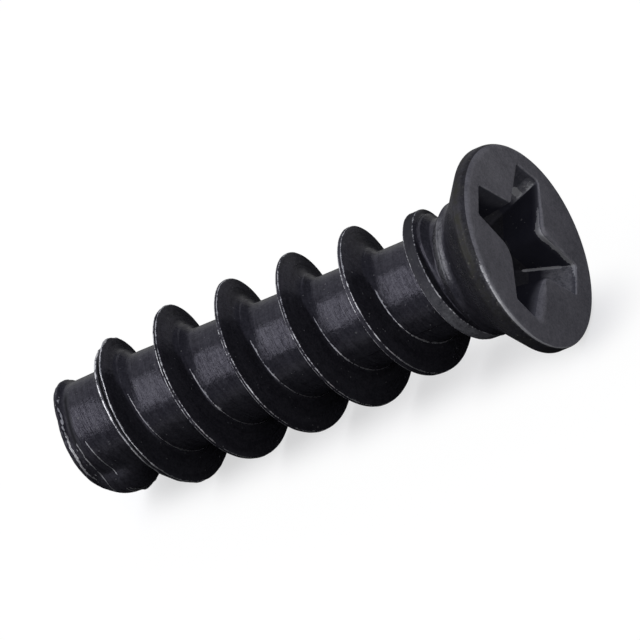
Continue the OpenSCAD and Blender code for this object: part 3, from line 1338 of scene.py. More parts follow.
@dataclass(frozen=True)
class CountersunkHead:
    """The head from the seam on its cone up over the rim and down into the recess.

    Slot 0 is on the cone and the rim, slot 1 on the face and slot 2 in the recess.
    """

    sizes: ScrewSizes
    recess: CrossRecess
    join_z: float
    columns: int = COLUMNS
    cone_rings: int = 7
    edge_rings: int = 6
    rim_rings: int = 5
    fillet_rings: int = 4
    face_stops: tuple[float, ...] = (0.04, 0.15, 0.32, 0.5, 0.68, 0.85, 0.96)
    floor_stops: tuple[float, ...] = (0.25, 0.5, 0.75)
    floor_shrink: float = 0.92
    sharp_edge_r: float = 0.06
    soft_edge_extra: float = 0.2
    # Turns with the degrees to either side over which their share falls
    soft_edge: tuple[float, float] = (325.0, 130.0)
    bright_edge: tuple[float, float] = (60.0, 95.0)
    grimy_side: tuple[float, float] = (330.0, 120.0)
    scraped: tuple[float, float] = (184.0, 38.0)
    # The side of the recess's edge on which the walls' painted shade starts lower
    lit: tuple[float, float] = (305.0, 40.0)
    # Grime at the cone's foot and how much is added up to the rim, and the rim's least grime
    cone_grime: tuple[float, float] = (0.1, 0.25)
    rim_grime: float = 0.5
    # Shares of the rim's grime that are on its lower edge and on the face's edge
    edge_grime: tuple[float, float] = (0.8, 0.7)
    rim_wear: float = 0.3
    # Gain and threshold of the bright edge's wear, and its least and added scuff
    bright_wear: tuple[float, float] = (3.0, 1.9)
    bright_scuff: tuple[float, float] = (0.05, 0.8)
    # Ring of the face's edge from which on the face's finish is used
    first_face_ring: int = 5
    roll_r: float = 0.045
    # Turn, spread and extra radius of the softer stretches of the recess's edge
    soft_rolls: tuple[tuple[float, float, float], ...] = ((76.0, 34.0, 0.26), (194.0, 40.0, 0.12))
    roll_wear: float = 0.3
    scraped_wear: float = 1.3
    scraped_wall_wear: float = 0.3
    wall_wear: tuple[WallMark, ...] = (
        WallMark(RIGHT_WING, 14, 14, 0.5),
        WallMark(RIGHT_WING, 13, 15, 0.75, 0.2, 0.85),
        WallMark(UPPER_WING, 3, 7, 0.95, 0.28, 0.4),
        WallMark(UPPER_WING, 2, 5, 0.45, 0.0, 0.2),
    )
    # Painted shade over the top of part of the upper wing's end wall
    dull_wall: WallMark = WallMark(UPPER_WING, 7, 13, 0.75, 0.0, 0.28)
    # Painted light on the lit end walls, laid on as scuffing, and its strength where they lie in painted
    # shade
    end_scuff: tuple[float, float] = (0.8, 0.15)
    # Shares of the wall's height over which painted shade darkens it: on the lit end walls, and elsewhere
    end_dark: tuple[float, float] = (0.36, 0.56)
    # Over what share of the wall's height the painted shade comes in elsewhere, and how much lower it starts
    # on the lit side
    dark_length: float = 0.08
    lit_length: float = 0.14
    # Painted shade, near black, on the fillet and the floor of the recess
    fillet_grime: float = 1.4
    floor_grime: float = 1.8
    head_drop: float = 0.04
    head_shift: float = 0.03
    head_shift_turn: float = 281.0
    head_shrink: float = 0.009

    def _circle(self, radius: np.ndarray | float) -> np.ndarray:
        """A ring of points about the axis."""
        angles = np.arange(self.columns) / self.columns * math.tau
        return np.column_stack([np.cos(angles), np.sin(angles)]) * np.reshape(radius, (-1, 1))

    def _facing(self, turn: float, spread: float) -> np.ndarray:
        """How near each point of a ring is to a direction, from 0 to 1.

        Args:
            turn: The direction in degrees.
            spread: Degrees to either side over which the share falls.

        Returns:
            A share for each point.
        """
        degrees = np.arange(self.columns) / self.columns * 360
        off = np.abs((degrees - turn + 180) % 360 - 180)
        return 0.5 + 0.5 * np.cos(np.pi * np.clip(off / spread, 0, 1))

    def build(self) -> bpy.types.Mesh:
        """Builds the head's mesh, open at its seam.

        Returns:
            The mesh.
        """
        s = self.sizes
        stack = RingStack(self.columns)
        rings = self._add_sides(stack)
        outline = self.recess.outline(0)
        roll = np.full(self.columns, self.roll_r)
        for turn, spread, extra in self.soft_rolls:
            share = self.recess.edge_share(turn, spread)
            roll = roll + extra * share * share * (3 - 2 * share)
        outward = self.recess.outward(outline)
        outer = stack.points[-1][:, :2]
        inner = outline + outward * roll[:, None]
        for share in self.face_stops:
            stack.add(outer + (inner - outer) * share, s.length, 0.0, 1)
        self._add_edge(stack, roll, outward)
        self._add_walls(stack, roll)
        self._add_floor(stack)
        towards = turned(np.array([1.0, 0.0]), self.head_shift_turn) * self.head_shift
        stack.eased_off(rings, self.head_drop, towards, self.head_shrink)
        middle = self.recess.middle + towards
        return stack.mesh("screw_head", (middle[0], middle[1], s.length - s.recess_depth - self.head_drop))

    def _add_sides(self, stack: RingStack) -> int:
        """Adds the cone, the rim and the rounded edge of the face.

        Args:
            stack: The head's rings.

        Returns:
            How many rings the cone has.
        """
        s = self.sizes
        rim_edge = corner_arc(
            np.array([s.neck_r, s.cone_z]),
            np.array([s.head_r, s.rim_z]),
            np.array([s.head_r, s.length]),
            s.rim_edge_r,
            self.edge_rings,
        )
        join = np.array([s.neck_r + (self.join_z - s.cone_z) * s.cone_slope, self.join_z])
        cone = [join, *line_inside(join, rim_edge[0], self.cone_rings)]
        least, more = self.cone_grime
        for index, (radius, z) in enumerate(cone):
            stack.add(self._circle(radius), z, grime=least + more * index / len(cone))
        grime = self.rim_grime + (1 - self.rim_grime) * self._facing(*self.grimy_side)
        for index, (radius, z) in enumerate(rim_edge):
            wear = math.sin(math.pi * index / self.edge_rings) * self.rim_wear
            stack.add(self._circle(radius), z, wear, grime=grime * self.edge_grime[0])
        edge_r = self.sharp_edge_r + self.soft_edge_extra * self._facing(*self.soft_edge)
        bright = self._facing(*self.bright_edge)
        rim_foot = rim_edge[-1][1]
        rim_top = s.length - edge_r
        for step in range(1, self.rim_rings):
            z = rim_foot + (rim_top - rim_foot) * step / self.rim_rings
            stack.add(self._circle(s.head_r), z, grime=grime)
        steps = self.edge_rings + 2
        for step in range(steps + 1):
            angle = math.pi / 2 * step / steps
            edge = math.sin(2 * angle)
            wear = np.clip(self.bright_wear[0] * edge - self.bright_wear[1], 0, 1) * bright
            scuff = edge * (self.bright_scuff[0] + self.bright_scuff[1] * bright)
            fading = grime * (1 - step / steps) * self.edge_grime[1]
            radius = s.head_r - edge_r * (1 - math.cos(angle))
            slot = 1 if step >= self.first_face_ring else 0
            stack.add(self._circle(radius), rim_top + edge_r * math.sin(angle), wear, slot, fading, scuff)
        return len(cone)

    def _add_edge(self, stack: RingStack, roll: np.ndarray, outward: np.ndarray) -> None:
        """Adds the rolled edge of the recess.

        Args:
            stack: The head's rings.
            roll: The edge's radius at each point.
            outward: The directions into the metal round the recess.
        """
        scraped = np.clip(self.recess.edge_share(*self.scraped) * 2, 0, 1)
        steps = self.edge_rings
        for step in range(steps + 1):
            angle = math.pi / 2 * step / steps
            edge = math.sin(2 * angle)
            sharp = self.roll_r / roll
            depth = roll * (1 - math.cos(angle))
            points = self.recess.at(depth) + outward * (roll * (1 - math.sin(angle)))[:, None]
            wear = self.roll_wear * edge * sharp**2
            if step >= steps - 1:
                wear = wear + self.scraped_wear * scraped
            slot = 1 if step < steps - 1 else 2
            stack.add(points, self.sizes.length - depth, wear, slot, scuff=edge * sharp)

    def _add_walls(self, stack: RingStack, roll: np.ndarray) -> None:
        """Adds the walls of the recess, with painted light at the top of the lit end walls and painted shade
        that darkens them below.

        Args:
            stack: The head's rings.
            roll: The edge's radius at each point.
        """
        recess = self.recess
        wall_end = self.sizes.wing_depth - recess.floor_fillet
        lit_wings = (RIGHT_WING, UPPER_WING)
        ends = sum(recess.columns_of(wing, 2, recess.last_end_column) for wing in lit_wings) > 0
        shaded_columns = recess.columns_of(self.dull_wall.wing, self.dull_wall.first, self.dull_wall.last) > 0
        scraped = np.clip(recess.edge_share(*self.scraped) * 2, 0, 1)
        lit = recess.edge_share(*self.lit) * self.lit_length
        for step in range(1, recess.wall_rings + 1):
            share = step / recess.wall_rings
            depth = roll + (wall_end - roll) * share
            wear = sum(mark.at(recess, share) for mark in self.wall_wear)
            if step == 1:
                wear = wear + self.scraped_wall_wear * scraped
            # Painted shade darkens the walls with depth; painted light brightens the top of the lit end walls
            dark = np.clip((share - lit) / (self.dark_length + lit), 0, 1)
            end_top, end_foot = self.end_dark
            end_dark = min(max((share - end_top) / (end_foot - end_top), 0), 1)
            shaded_share = self.dull_wall.at(recess, share)
            grime = np.where(shaded_share > 0, shaded_share, np.where(ends, end_dark, dark))
            scuff = np.where(ends, (1 - end_dark) * np.where(shaded_columns, self.end_scuff[1], self.end_scuff[0]), 0.0)
            stack.add(recess.at(depth), self.sizes.length - depth, np.clip(wear, 0, 1), 2, grime, scuff)

    def _add_floor(self, stack: RingStack) -> None:
        """Adds the fillet at the foot of the walls and the recess's floor, both darkened nearly black with
        painted shade.

        Args:
            stack: The head's rings.
        """
        s = self.sizes
        recess = self.recess
        fillet = recess.floor_fillet
        for step in range(1, self.fillet_rings + 1):
            angle = math.pi / 2 * step / self.fillet_rings
            depth = s.wing_depth - fillet + fillet * math.sin(angle)
            points = recess.outline(depth)
            inward = (recess.middle - points) / np.linalg.norm(recess.middle - points, axis=1)[:, None]
            points = points + inward * fillet * (1 - math.cos(angle))
            stack.add(points, s.length - depth, 0.0, 2, self.fillet_grime)
        floor = recess.outline(s.wing_depth) - recess.middle
        for share in self.floor_stops:
            points = recess.middle + floor * (1 - share) * self.floor_shrink
            depth = s.wing_depth + (s.recess_depth - s.wing_depth) * share
            stack.add(points, s.length - depth, 0.0, 2, self.floor_grime)


@dataclass(frozen=True)
class Pattern:
    """A noise pattern: its features per unit, its finer octaves, their strength, and how it is stirred."""

    scale: float
    detail: float = 2.0
    roughness: float = 0.6
    stir: float = 0.0

    def over(self, where: Socket) -> Field:
        """The pattern over a vector, about 0.5."""
        return noise(where, self.scale, self.detail, self.roughness, self.stir)


class SurfaceEffects:
    """Node groups that the finishes share. Each gives masks, tones or heights only."""

    # Worn edges: how far patches and specks move them, and where that and the mask are eased in
    WORN_PATCHES = Pattern(3.2, 3.0)
    WORN_SPECKS = Pattern(17.0)
    WORN_SHARES = (1.5, 1.3)
    WORN_NEAR = 0.35
    WORN_SOFTNESS = 0.2
    # Streaks: how much of their tone and of their height the wide ones make
    WIDE_STREAKS = Pattern(0.55)
    FINE_STREAKS = Pattern(1.9)
    WIDE_TONE = 0.6
    WIDE_HEIGHT = 0.4
    TONE_RANGE = (0.3, 0.7)
    # Specks: their cells, the patches in which they are more, their least and added size
    SPECK_CELLS = 13.0
    SPECK_STIR = (16.0, 0.09)
    SPECK_PATCHES = Pattern(1.7)
    SPECK_PATCH_RANGE = (0.4, 0.62)
    SPECK_PATCH_SHARES = (0.25, 1.8)
    SPECK_SIZES = (0.14, 0.25)
    SPECK_SOFTNESS = 0.1
    CHOICE_SOFTNESS = 0.01
    BLOTCHES = Pattern(2.2, 4.0, 0.65, 0.4)
    BLOTCH_RANGE = (0.38, 0.68)

    def __init__(self) -> None:
        """Builds all groups."""
        self.worn_edges = self._group("worn_edges", {"Near": 0.0, "Amount": 0.5, "Breakup": 1.0}, self._worn)
        self.roll_streaks = self._group("roll_streaks", {"Strength": 1.0}, self._streaks)
        self.dust_specks = self._group("dust_specks", {"Share": 0.15}, self._specks)
        self.tarnish = self._group("tarnish", {"Grime": 0.0, "Cover": 0.3, "Share": 0.1}, self._tarnish)

    def _group(
        self,
        name: str,
        numbers: dict[str, float],
        laid_out: Callable[[Socket, dict[str, Field]], dict[str, Field]],
    ) -> Tree:
        """Builds a group with a vector input and some numbers.

        Args:
            name: The group's name.
            numbers: Its number inputs and their defaults.
            laid_out: Turns the vector and the numbers into the group's outputs.

        Returns:
            The group's tree.
        """
        tree = bpy.data.node_groups.new(name, "ShaderNodeTree")
        tree.interface.new_socket("Vector", in_out="INPUT", socket_type="NodeSocketVector")
        for label, value in numbers.items():
            socket = tree.interface.new_socket(label, in_out="INPUT", socket_type="NodeSocketFloat")
            socket.default_value = value
        given = tree.nodes.new("NodeGroupInput").outputs
        results = laid_out(given["Vector"], {label: Field(given[label]) for label in numbers})
        for label in results:
            tree.interface.new_socket(label, in_out="OUTPUT", socket_type="NodeSocketFloat")
        added(tree, "NodeGroupOutput", results)
        return tree

    def _worn(self, where: Socket, given: dict[str, Field]) -> dict[str, Field]:
        """Bare metal along edges, and painted highlights along lines, broken up and speckled.

        Args:
            where: The vector that the pattern follows.
            given: How near an edge is, the amount and the breakup.

        Returns:
            The mask.
        """
        patches = self.WORN_PATCHES.over(where)
        specks = self.WORN_SPECKS.over(where)
        patch_share, speck_share = self.WORN_SHARES
        near = given["Near"]
        broken = ((patches - 0.5) * patch_share + (specks - 0.5) * speck_share) * given["Breakup"]
        level = near + broken * near.eased(0.0, self.WORN_NEAR) - (1.0 - given["Amount"])
        return {"Mask": level.eased(0.0, self.WORN_SOFTNESS)}

    def _streaks(self, where: Socket, given: dict[str, Field]) -> dict[str, Field]:
        """Fine lines that the rolling dies leave along the thread.

        Args:
            where: The vector that the pattern follows.
            given: The strength.

        Returns:
            The tone and the height.
        """
        wide = self.WIDE_STREAKS.over(where)
        fine = self.FINE_STREAKS.over(where)
        tone = wide * self.WIDE_TONE + fine * (1.0 - self.WIDE_TONE)
        height = wide * self.WIDE_HEIGHT + fine * (1.0 - self.WIDE_HEIGHT)
        return {"Tone": tone.eased(*self.TONE_RANGE), "Height": height * given["Strength"]}

    def _specks(self, where: Socket, given: dict[str, Field]) -> dict[str, Field]:
        """Scattered pale specks of dust and chips.

        Args:
            where: The vector that the pattern follows.
            given: The share of places with a speck.

        Returns:
            The mask.
        """
        tree = where.id_data
        scale, share = self.SPECK_STIR
        stir = added(tree, "ShaderNodeTexNoise", {"Vector": where, "Scale": scale}).outputs["Color"]
        stirred = added(tree, "ShaderNodeMix", {0: share, 4: where, 5: stir}, data_type="VECTOR")
        grid = {"Vector": stirred.outputs[1], "Scale": self.SPECK_CELLS, "Randomness": 1.0}
        cells = added(tree, "ShaderNodeTexVoronoi", grid)
        chance = added(tree, "ShaderNodeSeparateColor", {0: cells.outputs["Color"]})
        least, more = self.SPECK_PATCH_SHARES
        patches = self.SPECK_PATCHES.over(where).eased(*self.SPECK_PATCH_RANGE) * more + least
        chosen = (given["Share"] * patches - Field(chance.outputs[0])).eased(0.0, self.CHOICE_SOFTNESS)
        least, more = self.SPECK_SIZES
        spread = Field(chance.outputs[1]) * more + least
        shape = (spread - Field(cells.outputs["Distance"])).eased(0.0, self.SPECK_SOFTNESS)
        return {"Mask": shape * chosen}

    def _tarnish(self, where: Socket, given: dict[str, Field]) -> dict[str, Field]:
        """Uneven blotches of the coat's tarnish, closed where the tarnish input is high; where that input
        carries painted shade, the mask lays the shade on.

        Args:
            where: The vector that the pattern follows.
            given: The tarnish with its painted shade, its cover and the least share.

        Returns:
            The mask.
        """
        blotches = self.BLOTCHES.over(where).eased(*self.BLOTCH_RANGE)
        loose = given["Grime"] * (1.0 - given["Cover"]) + given["Share"]
        return {"Mask": (blotches * loose + given["Grime"] * given["Cover"]).kept()}


class Mapping(Enum):
    """What a finish's pattern follows."""

    PLACE = "place"
    ROLL_PATH = "roll_path"


@dataclass(frozen=True)
class BlackedSteel:
    """Black coated steel, bright where the coat is worn through and where highlights are painted."""

    name: str
    mapping: Mapping = Mapping.PLACE
    coat: Colour = (0.0165, 0.016, 0.0203)
    coat_streak: Colour = (0.0335, 0.0327, 0.0395)
    tarnish: Colour = (0.034, 0.034, 0.038)
    # Near black, laid on above 1: painted shade in the first crest's fold and at the foot of the recess
    soot: Colour = (0.002, 0.002, 0.0025)
    # Pale colour of scuffs, and of the painted light on the neck and on the lit end walls of the recess
    scuffed: Colour = (0.11, 0.11, 0.116)
    # Bare metal, also the colour of the painted highlight along the roots
    bare: Colour = (0.36, 0.36, 0.37)
    dust: Colour = (0.12, 0.12, 0.12)
    shine: float = 0.54
    grazing_tint: float = 0.6
    # How the tarnish and the painted shade roughen the coat, take its shine off and cover it
    grime_roughness: float = 0.3
    grime_shine: float = -0.27
    grime_cover: float = 0.3
    soot_share: float = 0.7
    roughness: float = 0.16
    roughness_spread: float = 0.08
    wear: float = 0.5
    wear_breakup: float = 0.7
    seam_wear: float = 1.1
    tarnish_share: float = 0.12
    dust_share: float = 0.06
    dust_strength: float = 0.45
    contrast: float = 1.9
    mottle: Pattern = Pattern(6.5, 4.0, 0.65)
    mottle_range: tuple[float, float] = (0.3, 0.7)
    speckle: Pattern = Pattern(19.0)
    speckle_range: tuple[float, float] = (0.36, 0.64)
    grain: Pattern = Pattern(9.0, 3.0)
    wobble: Pattern = Pattern(2.4, 2.0, 0.5)
    relief: float = 0.01
    # How much of the relief comes from the grain and the wobble, beside the streaks
    relief_shares: tuple[float, float] = (0.8, 1.4)
    # How much of the scuffs and painted highlights follows the mottling and the speckles, and how much is
    # even
    scuff_shares: tuple[float, float, float] = (0.6, 0.3, 0.15)
    # How much of the tone comes from the streaks, the mottling and the speckles
    tone_shares: tuple[float, float, float] = (0.4, 0.28, 0.32)
    # Roughness that is added where the coat is worn through, where there is dust, and where there are scuffs
    # and painted highlights
    roughened: tuple[float, float, float] = (0.2, 0.4, 0.25)
    roughness_range: tuple[float, float] = (0.05, 0.9)

    def material(self, effects: SurfaceEffects) -> bpy.types.Material:
        """Builds the material.

        Args:
            effects: The shared node groups.

        Returns:
            The material.
        """
        material = bpy.data.materials.new(self.name)
        material.use_nodes = True
        tree = material.node_tree
        shader = tree.nodes["Principled BSDF"].inputs
        coordinates = added(tree, "ShaderNodeTexCoord").outputs["Object"]
        scaled = {"Vector": coordinates, "Scale": 1 / MM}
        place = added(tree, "ShaderNodeVectorMath", scaled, operation="SCALE").outputs[0]
        follows_path = self.mapping is Mapping.ROLL_PATH
        pattern = self._attribute(tree, "roll_path").outputs["Vector"] if follows_path else place
        streaks = self._effect(effects.roll_streaks, pattern, tree, {"Strength": 1.0})
        mottle = self.mottle.over(place).eased(*self.mottle_range)
        speckle = self.speckle.over(place).eased(*self.speckle_range)
        edges = Field(self._attribute(tree, "wear_and_highlight").outputs["Fac"])
        grime = Field(self._attribute(tree, "grime").outputs["Fac"])
        mottled, speckled, even = self.scuff_shares
        uneven = mottle * mottled + speckle * speckled + even
        scuffed = Field(self._attribute(tree, "scuff").outputs["Fac"]) * uneven
        above_seam, seam_share, _ = parts_of(self._attribute(tree, "seam_line").outputs["Vector"])
        seam = above_seam.close_to(0.0, ShankTree.SEAM.half) * seam_share * self.seam_wear
        # Worn edges and the seam, and the painted highlight along the roots
        worn = {"Near": edges.highest(seam), "Amount": self.wear, "Breakup": self.wear_breakup}
        bare = Field(self._effect(effects.worn_edges, place, tree, worn)["Mask"])
        specks = self._effect(effects.dust_specks, place, tree, {"Share": self.dust_share})
        dusty = Field(specks["Mask"]) * self.dust_strength
        tarnished = {"Grime": grime, "Cover": self.grime_cover, "Share": self.tarnish_share}
        blotch = Field(self._effect(effects.tarnish, place, tree, tarnished)["Mask"])
        streak_share, mottle_share, speckle_share = self.tone_shares
        tone = Field(streaks["Tone"]) * streak_share + mottle * mottle_share + speckle * speckle_share
        tone = ((tone - 0.5) * self.contrast + 0.5).kept()

        colour: Colour | Socket = self.coat
        for over, share in (
            (self.coat_streak, tone),
            (self.tarnish, blotch),
            # Near black above 1: painted shade in the first crest's fold and in the recess
            (self.soot, (grime - 1.0).kept() * self.soot_share),
            # Pale scuffs, also the painted light on the neck and the recess's end walls
            (self.scuffed, scuffed),
            # Bare metal, also the painted highlight along the roots
            (self.bare, bare),
            (self.dust, dusty),
        ):
            colour = self._mixed(tree, colour, over, share)
        feed(colour, shader["Base Color"])
        rough = tone * self.roughness_spread + self.roughness + grime * self.grime_roughness
        for extra, share in zip(self.roughened, (bare, dusty, scuffed)):
            rough = rough + share * extra
        feed(rough.kept(*self.roughness_range), shader["Roughness"])
        feed(bare.highest(grime.kept() * self.grime_shine + self.shine) * (1.0 - dusty), shader["Metallic"])
        shader["Specular IOR Level"].default_value = 0.0
        shader["Specular Tint"].default_value = (self.grazing_tint, self.grazing_tint, self.grazing_tint, 1.0)
        grained, wobbled = self.relief_shares
        grain = self.grain.over(place) * grained
        wobble = self.wobble.over(place) * wobbled
        height = Field(streaks["Height"]) + grain + wobble
        bump = added(tree, "ShaderNodeBump", {"Distance": self.relief * MM, "Height": height})
        feed(bump.outputs[0], shader["Normal"])
        return material

    def _attribute(self, tree: Tree, name: str) -> Node:
        """A node that reads a point attribute."""
        return added(tree, "ShaderNodeAttribute", attribute_name=name)

    def _effect(self, group: Tree, where: Socket, tree: Tree, values: dict[str, Value]) -> Any:
        """Puts a shared group in the material.

        Args:
            group: The group.
            where: The vector that its pattern follows.
            tree: The material's tree.
            values: The group's other inputs.

        Returns:
            The outputs by name.
        """
        return added(tree, "ShaderNodeGroup", {"Vector": where, **values}, node_tree=group).outputs

    def _mixed(self, tree: Tree, under: Colour | Socket, over: Colour, share: Field) -> Socket:
        """Lays one colour over another.

        Args:
            tree: The node tree.
            under: The colour below, or its socket.
            over: The colour above.
            share: How much of it covers.

        Returns:
            The result's socket.
        """
        below = (*under, 1.0) if isinstance(under, tuple) else under
        node = added(tree, "ShaderNodeMix", {0: share, 6: below, 7: (*over, 1.0)}, data_type="RGBA")
        return node.outputs[2]


class ScrewBody:
    """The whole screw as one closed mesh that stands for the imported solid."""

    FINISHES = (
        BlackedSteel(
            "head_side",
            coat=(0.0165, 0.016, 0.0195),
            tarnish=(0.026, 0.0256, 0.0218),
            dust=(0.12, 0.116, 0.1),
            tarnish_share=0.08,
            dust_share=0.22,
            wear=0.6,
            wear_breakup=0.45,
        ),
        BlackedSteel(
            "head_face",
            coat=(0.08, 0.0782, 0.0872),
            coat_streak=(0.15, 0.147, 0.16),
            tarnish=(0.05, 0.05, 0.055),
            scuffed=(0.2, 0.2, 0.215),
            shine=0.46,
            roughness=0.42,
            tarnish_share=0.1,
            wear=0.6,
            wear_breakup=0.5,
            contrast=1.2,
        ),
        # The recess's walls: their lighter coat shows at the top, and their darker tarnish colour is the
        # painted shade laid on below
        BlackedSteel(
            "recess_wall",
            coat=(0.055, 0.055, 0.065),
            coat_streak=(0.065, 0.065, 0.077),
            tarnish=(0.0145, 0.0145, 0.02),
            scuffed=(0.19, 0.188, 0.2),
            grime_cover=0.95,
            grime_shine=-0.3,
            shine=0.3,
            roughness=0.4,
            wear=0.6,
            tarnish_share=0.0,
        ),
    )
    SHANK_FINISH = BlackedSteel("rolled_thread", Mapping.ROLL_PATH)

    def __init__(self, sizes: ScrewSizes, place: LyingPlace, effects: SurfaceEffects) -> None:
        """Takes what the screw is made from.

        Args:
            sizes: The screw's sizes.
            place: Where it lies.
            effects: The shared node groups.
        """
        self.sizes = sizes
        self.place = place
        self.effects = effects

    def build(self) -> bpy.types.Object:
        """Builds the mesh, lays it down and puts it in place of the solid.

        Returns:
            The finished object.
        """
        plan = RowPlan()
        join_z = self.sizes.cone_z + plan.join_above_cone
        shank_finish = self.SHANK_FINISH.material(self.effects)
        head = CountersunkHead(self.sizes, CrossRecess(self.sizes), join_z).build()
        for finish in self.FINISHES:
            head.materials.append(finish.material(self.effects))
        draft = bpy.data.objects.new("screw_draft", head)
        bpy.context.scene.collection.objects.link(draft)
        shank = ShankTree(self.sizes, plan, ShankDetail())
        shank.values["material"] = shank_finish
        modifier = shank.attach(draft)
        bpy.context.view_layer.update()
        evaluated = draft.evaluated_get(bpy.context.evaluated_depsgraph_get())
        mesh = bpy.data.meshes.new_from_object(evaluated)
        draft.modifiers.remove(modifier)
        bpy.data.objects.remove(draft)
        mesh.name = "screw_body"
        mesh.transform(self.place.matrix())
        self._report(mesh)
        piece = bpy.data.objects.new("screw_body", mesh)
        bpy.context.scene.collection.objects.link(piece)
        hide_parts("screw")
        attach(piece, "root")
        return piece

    def _report(self, mesh: bpy.types.Mesh) -> None:
        """Reports the mesh's size and whether it is closed.

        Args:
            mesh: The finished mesh.
        """
        work = bmesh.new()
        work.from_mesh(mesh)
        open_edges = sum(1 for edge in work.edges if len(edge.link_faces) != 2)
        triangles = sum(len(face.verts) - 2 for face in work.faces)
        volume = work.calc_volume() / MM**3
        work.free()
        LOG.info("screw_body: %d triangles, %d open edges, %.1f cubic mm", triangles, open_edges, volume)


@dataclass(frozen=True)
class MainView:
    """The photograph's view of the screw, as fitted to its outline.

    The first two angles are the axis off the line of sight and its rise across the picture. The third is how
    far the start of the thread is turned from the picture's up side. The picture is 640 pixels square.
    """

    off_sight: float = 61.7312
    rise: float = 23.1735
    start_turn: float = 78.8776
    pixels_per_mm: float = 36.2054
    middle_x: float = 309.0713
    middle_y: float = 339.5978
    picture: int = 640
    distance: float = 650.0
    sensor: float = 36.0
    clip: tuple[float, float] = (0.1, 20.0)

    def axes(self, place: LyingPlace) -> Axes:
        """Directions square to and along the sight, with the screw's axis level in the picture.

        Args:
            place: Where the screw lies.

        Returns:
            Along the level axis, up from it, and back towards the camera.
        """
        up = place.side(-self.start_turn)
        left = place.axis.cross(up)
        angle = math.radians(self.off_sight)
        along = place.axis * math.sin(angle) - left * math.cos(angle)
        back = place.axis * math.cos(angle) + left * math.sin(angle)
        return along, up, back

    def place_camera(self, sizes: ScrewSizes, place: LyingPlace) -> None:
        """Adds the camera.

        Args:
            sizes: The screw's sizes.
            place: Where it lies.
        """
        along, up, back = self.axes(place)
        tilt = math.radians(self.rise)
        right = along * math.cos(tilt) - up * math.sin(tilt)
        above = along * math.sin(tilt) + up * math.cos(tilt)
        centre = (self.picture - 1) / 2
        across = (centre - self.middle_x) / self.pixels_per_mm
        upward = (self.middle_y - centre) / self.pixels_per_mm
        target = place.tip + (place.axis * sizes.length / 2 + right * across + above * upward) * MM
        lens = bpy.data.cameras.new("main_view")
        lens.sensor_width = self.sensor
        lens.lens = self.sensor * self.pixels_per_mm * self.distance / self.picture
        lens.clip_start, lens.clip_end = self.clip
        camera = bpy.data.objects.new("main_view", lens)
        turn = Matrix((right, above, back)).transposed().to_4x4()
        camera.matrix_world = Matrix.Translation(target + back * self.distance * MM) @ turn
        bpy.context.scene.collection.objects.link(camera)
        bpy.context.scene.camera = camera


@dataclass(frozen=True)
class SoftLamp:
    """A rectangular softbox, placed by its direction in the main view. Its sizes are in metres."""

    name: str
    towards: tuple[float, float, float]
    long_side: tuple[float, float, float]
    length: float
    width: float
    distance: float
    radiance: float

    def add(self, axes: Axes) -> None:
        """Adds the lamp.

        Args:
            axes: The main view's directions.
        """
        back = sum((axis * value for axis, value in zip(axes, self.towards)), Vector()).normalized()
        along = sum((axis * value for axis, value in zip(axes, self.long_side)), Vector())
        along = (along - back * along.dot(back)).normalized()
        light = bpy.data.lights.new(self.name, "AREA")
        light.shape = "RECTANGLE"
        light.size = self.length
        light.size_y = self.width
        light.energy = self.radiance * math.pi * self.length * self.width
        lamp = bpy.data.objects.new(self.name, light)
        turn = Matrix((along, back.cross(along), back)).transposed().to_4x4()
        lamp.matrix_world = Matrix.Translation(back * self.distance) @ turn
        lamp.visible_camera = False
        bpy.context.scene.collection.objects.link(lamp)


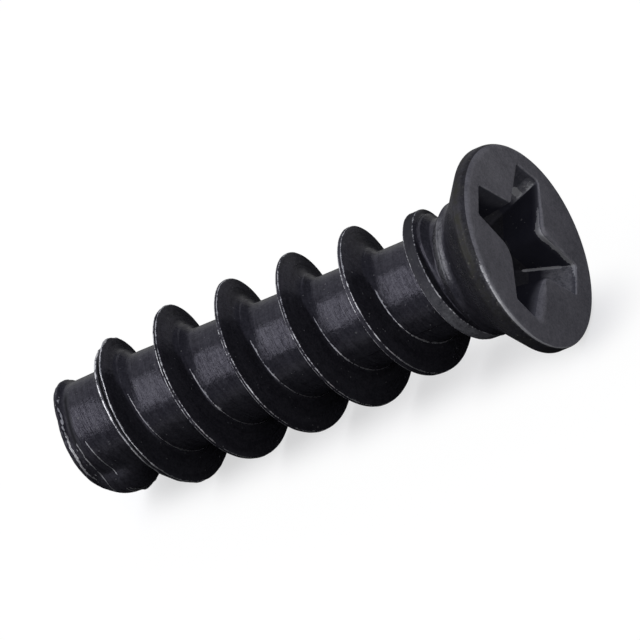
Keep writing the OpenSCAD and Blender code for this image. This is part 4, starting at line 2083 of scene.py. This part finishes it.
@dataclass(frozen=True)
class Studio:
    """The white floor, the even surround and the lamps.

    The floor is dark to bounced light. It glows for the camera, and for reflections some way off the screw,
    over distances in millimetres.
    """

    floor_half: float = 3.0
    floor_shade: float = 0.05
    floor_seen_shade: float = 0.9
    floor_roughness: float = 0.9
    surround: Colour = (0.53, 0.54, 0.62)
    half_screw: float = 7.0
    glow: tuple[float, float] = (0.2, 2.8)
    glow_least: float = 0.6
    glow_share: float = 0.97
    mirror_glow: tuple[float, float] = (9.0, 18.0)
    lamps: tuple[SoftLamp, ...] = (
        SoftLamp("key", (-0.759, 0.505, 0.409), (0.291, 0.821, -0.49), 0.68, 0.21, 0.6, 6.5),
        SoftLamp("back_fill", (-0.3, 0.78, -0.5), (-0.39, 0.3, 0.73), 1.1, 0.9, 0.9, 1.2),
        SoftLamp("head_fill", (0.88, 0.05, 0.42), (0.0, 1.0, 0.0), 0.5, 0.5, 0.7, 1.6),
        SoftLamp("front_fill", (0.35, -0.25, 0.9), (0.0, 1.0, 0.0), 0.5, 0.5, 0.7, 2.2),
    )

    def add_floor(self) -> bpy.types.Object:
        """Adds the floor.

        Returns:
            The floor.
        """
        half = self.floor_half
        corners = [(-half, -half, 0), (half, -half, 0), (half, half, 0), (-half, half, 0)]
        mesh = bpy.data.meshes.new("floor")
        mesh.from_pydata(corners, [], [(0, 1, 2, 3)])
        mesh.materials.append(self._floor_material())
        floor = bpy.data.objects.new("floor", mesh)
        bpy.context.scene.collection.objects.link(floor)
        return floor

    def _floor_material(self) -> bpy.types.Material:
        """White paper that glows a little away from the screw, so that it shows as white.

        Returns:
            The material.
        """
        material = bpy.data.materials.new("studio_floor")
        material.use_nodes = True
        tree = material.node_tree
        shader = tree.nodes["Principled BSDF"]
        shader.inputs["Roughness"].default_value = self.floor_roughness
        shader.inputs["Specular IOR Level"].default_value = 0.0
        x, y, _ = parts_of(added(tree, "ShaderNodeTexCoord").outputs["Object"])
        past_end = ((x / MM).size() - self.half_screw).highest(0.0)
        aside = y / MM
        away = (past_end * past_end + aside * aside).power(0.5)
        rays = added(tree, "ShaderNodeLightPath").outputs
        direct = Field(rays["Is Camera Ray"])
        shade = direct * (self.floor_seen_shade - self.floor_shade) + self.floor_shade
        feed(shade, shader.inputs["Base Color"])
        seen = direct * (away.eased(*self.glow) * (1.0 - self.glow_least) + self.glow_least)
        mirrored = Field(rays["Is Glossy Ray"]).highest(Field(rays["Is Transmission Ray"]))
        share = seen.highest(mirrored * away.eased(*self.mirror_glow)) * self.glow_share
        glow = added(tree, "ShaderNodeEmission", {"Strength": 1.0})
        mix = added(tree, "ShaderNodeMixShader", {0: share, 1: shader.outputs[0], 2: glow.outputs[0]})
        feed(mix.outputs[0], tree.nodes["Material Output"].inputs["Surface"])
        return material

    def add_surround(self) -> None:
        """Adds the even grey surround."""
        world = bpy.data.worlds.new("studio")
        world.use_nodes = True
        sky = world.node_tree.nodes["Background"]
        sky.inputs["Color"].default_value = (*self.surround, 1)
        sky.inputs["Strength"].default_value = 1.0
        bpy.context.scene.world = world


def main() -> None:
    """Builds the screw and its studio."""
    logging.basicConfig(level=logging.INFO, format="%(name)s: %(message)s")
    bpy.context.scene.view_settings.view_transform = "Standard"
    sizes = ScrewSizes()
    place = LyingPlace(sizes)
    ScrewBody(sizes, place, SurfaceEffects()).build()
    view = MainView()
    view.place_camera(sizes, place)
    studio = Studio()
    studio.add_floor()
    studio.add_surround()
    for lamp in studio.lamps:
        lamp.add(view.axes(place))


if __name__ == "__main__":
    main()
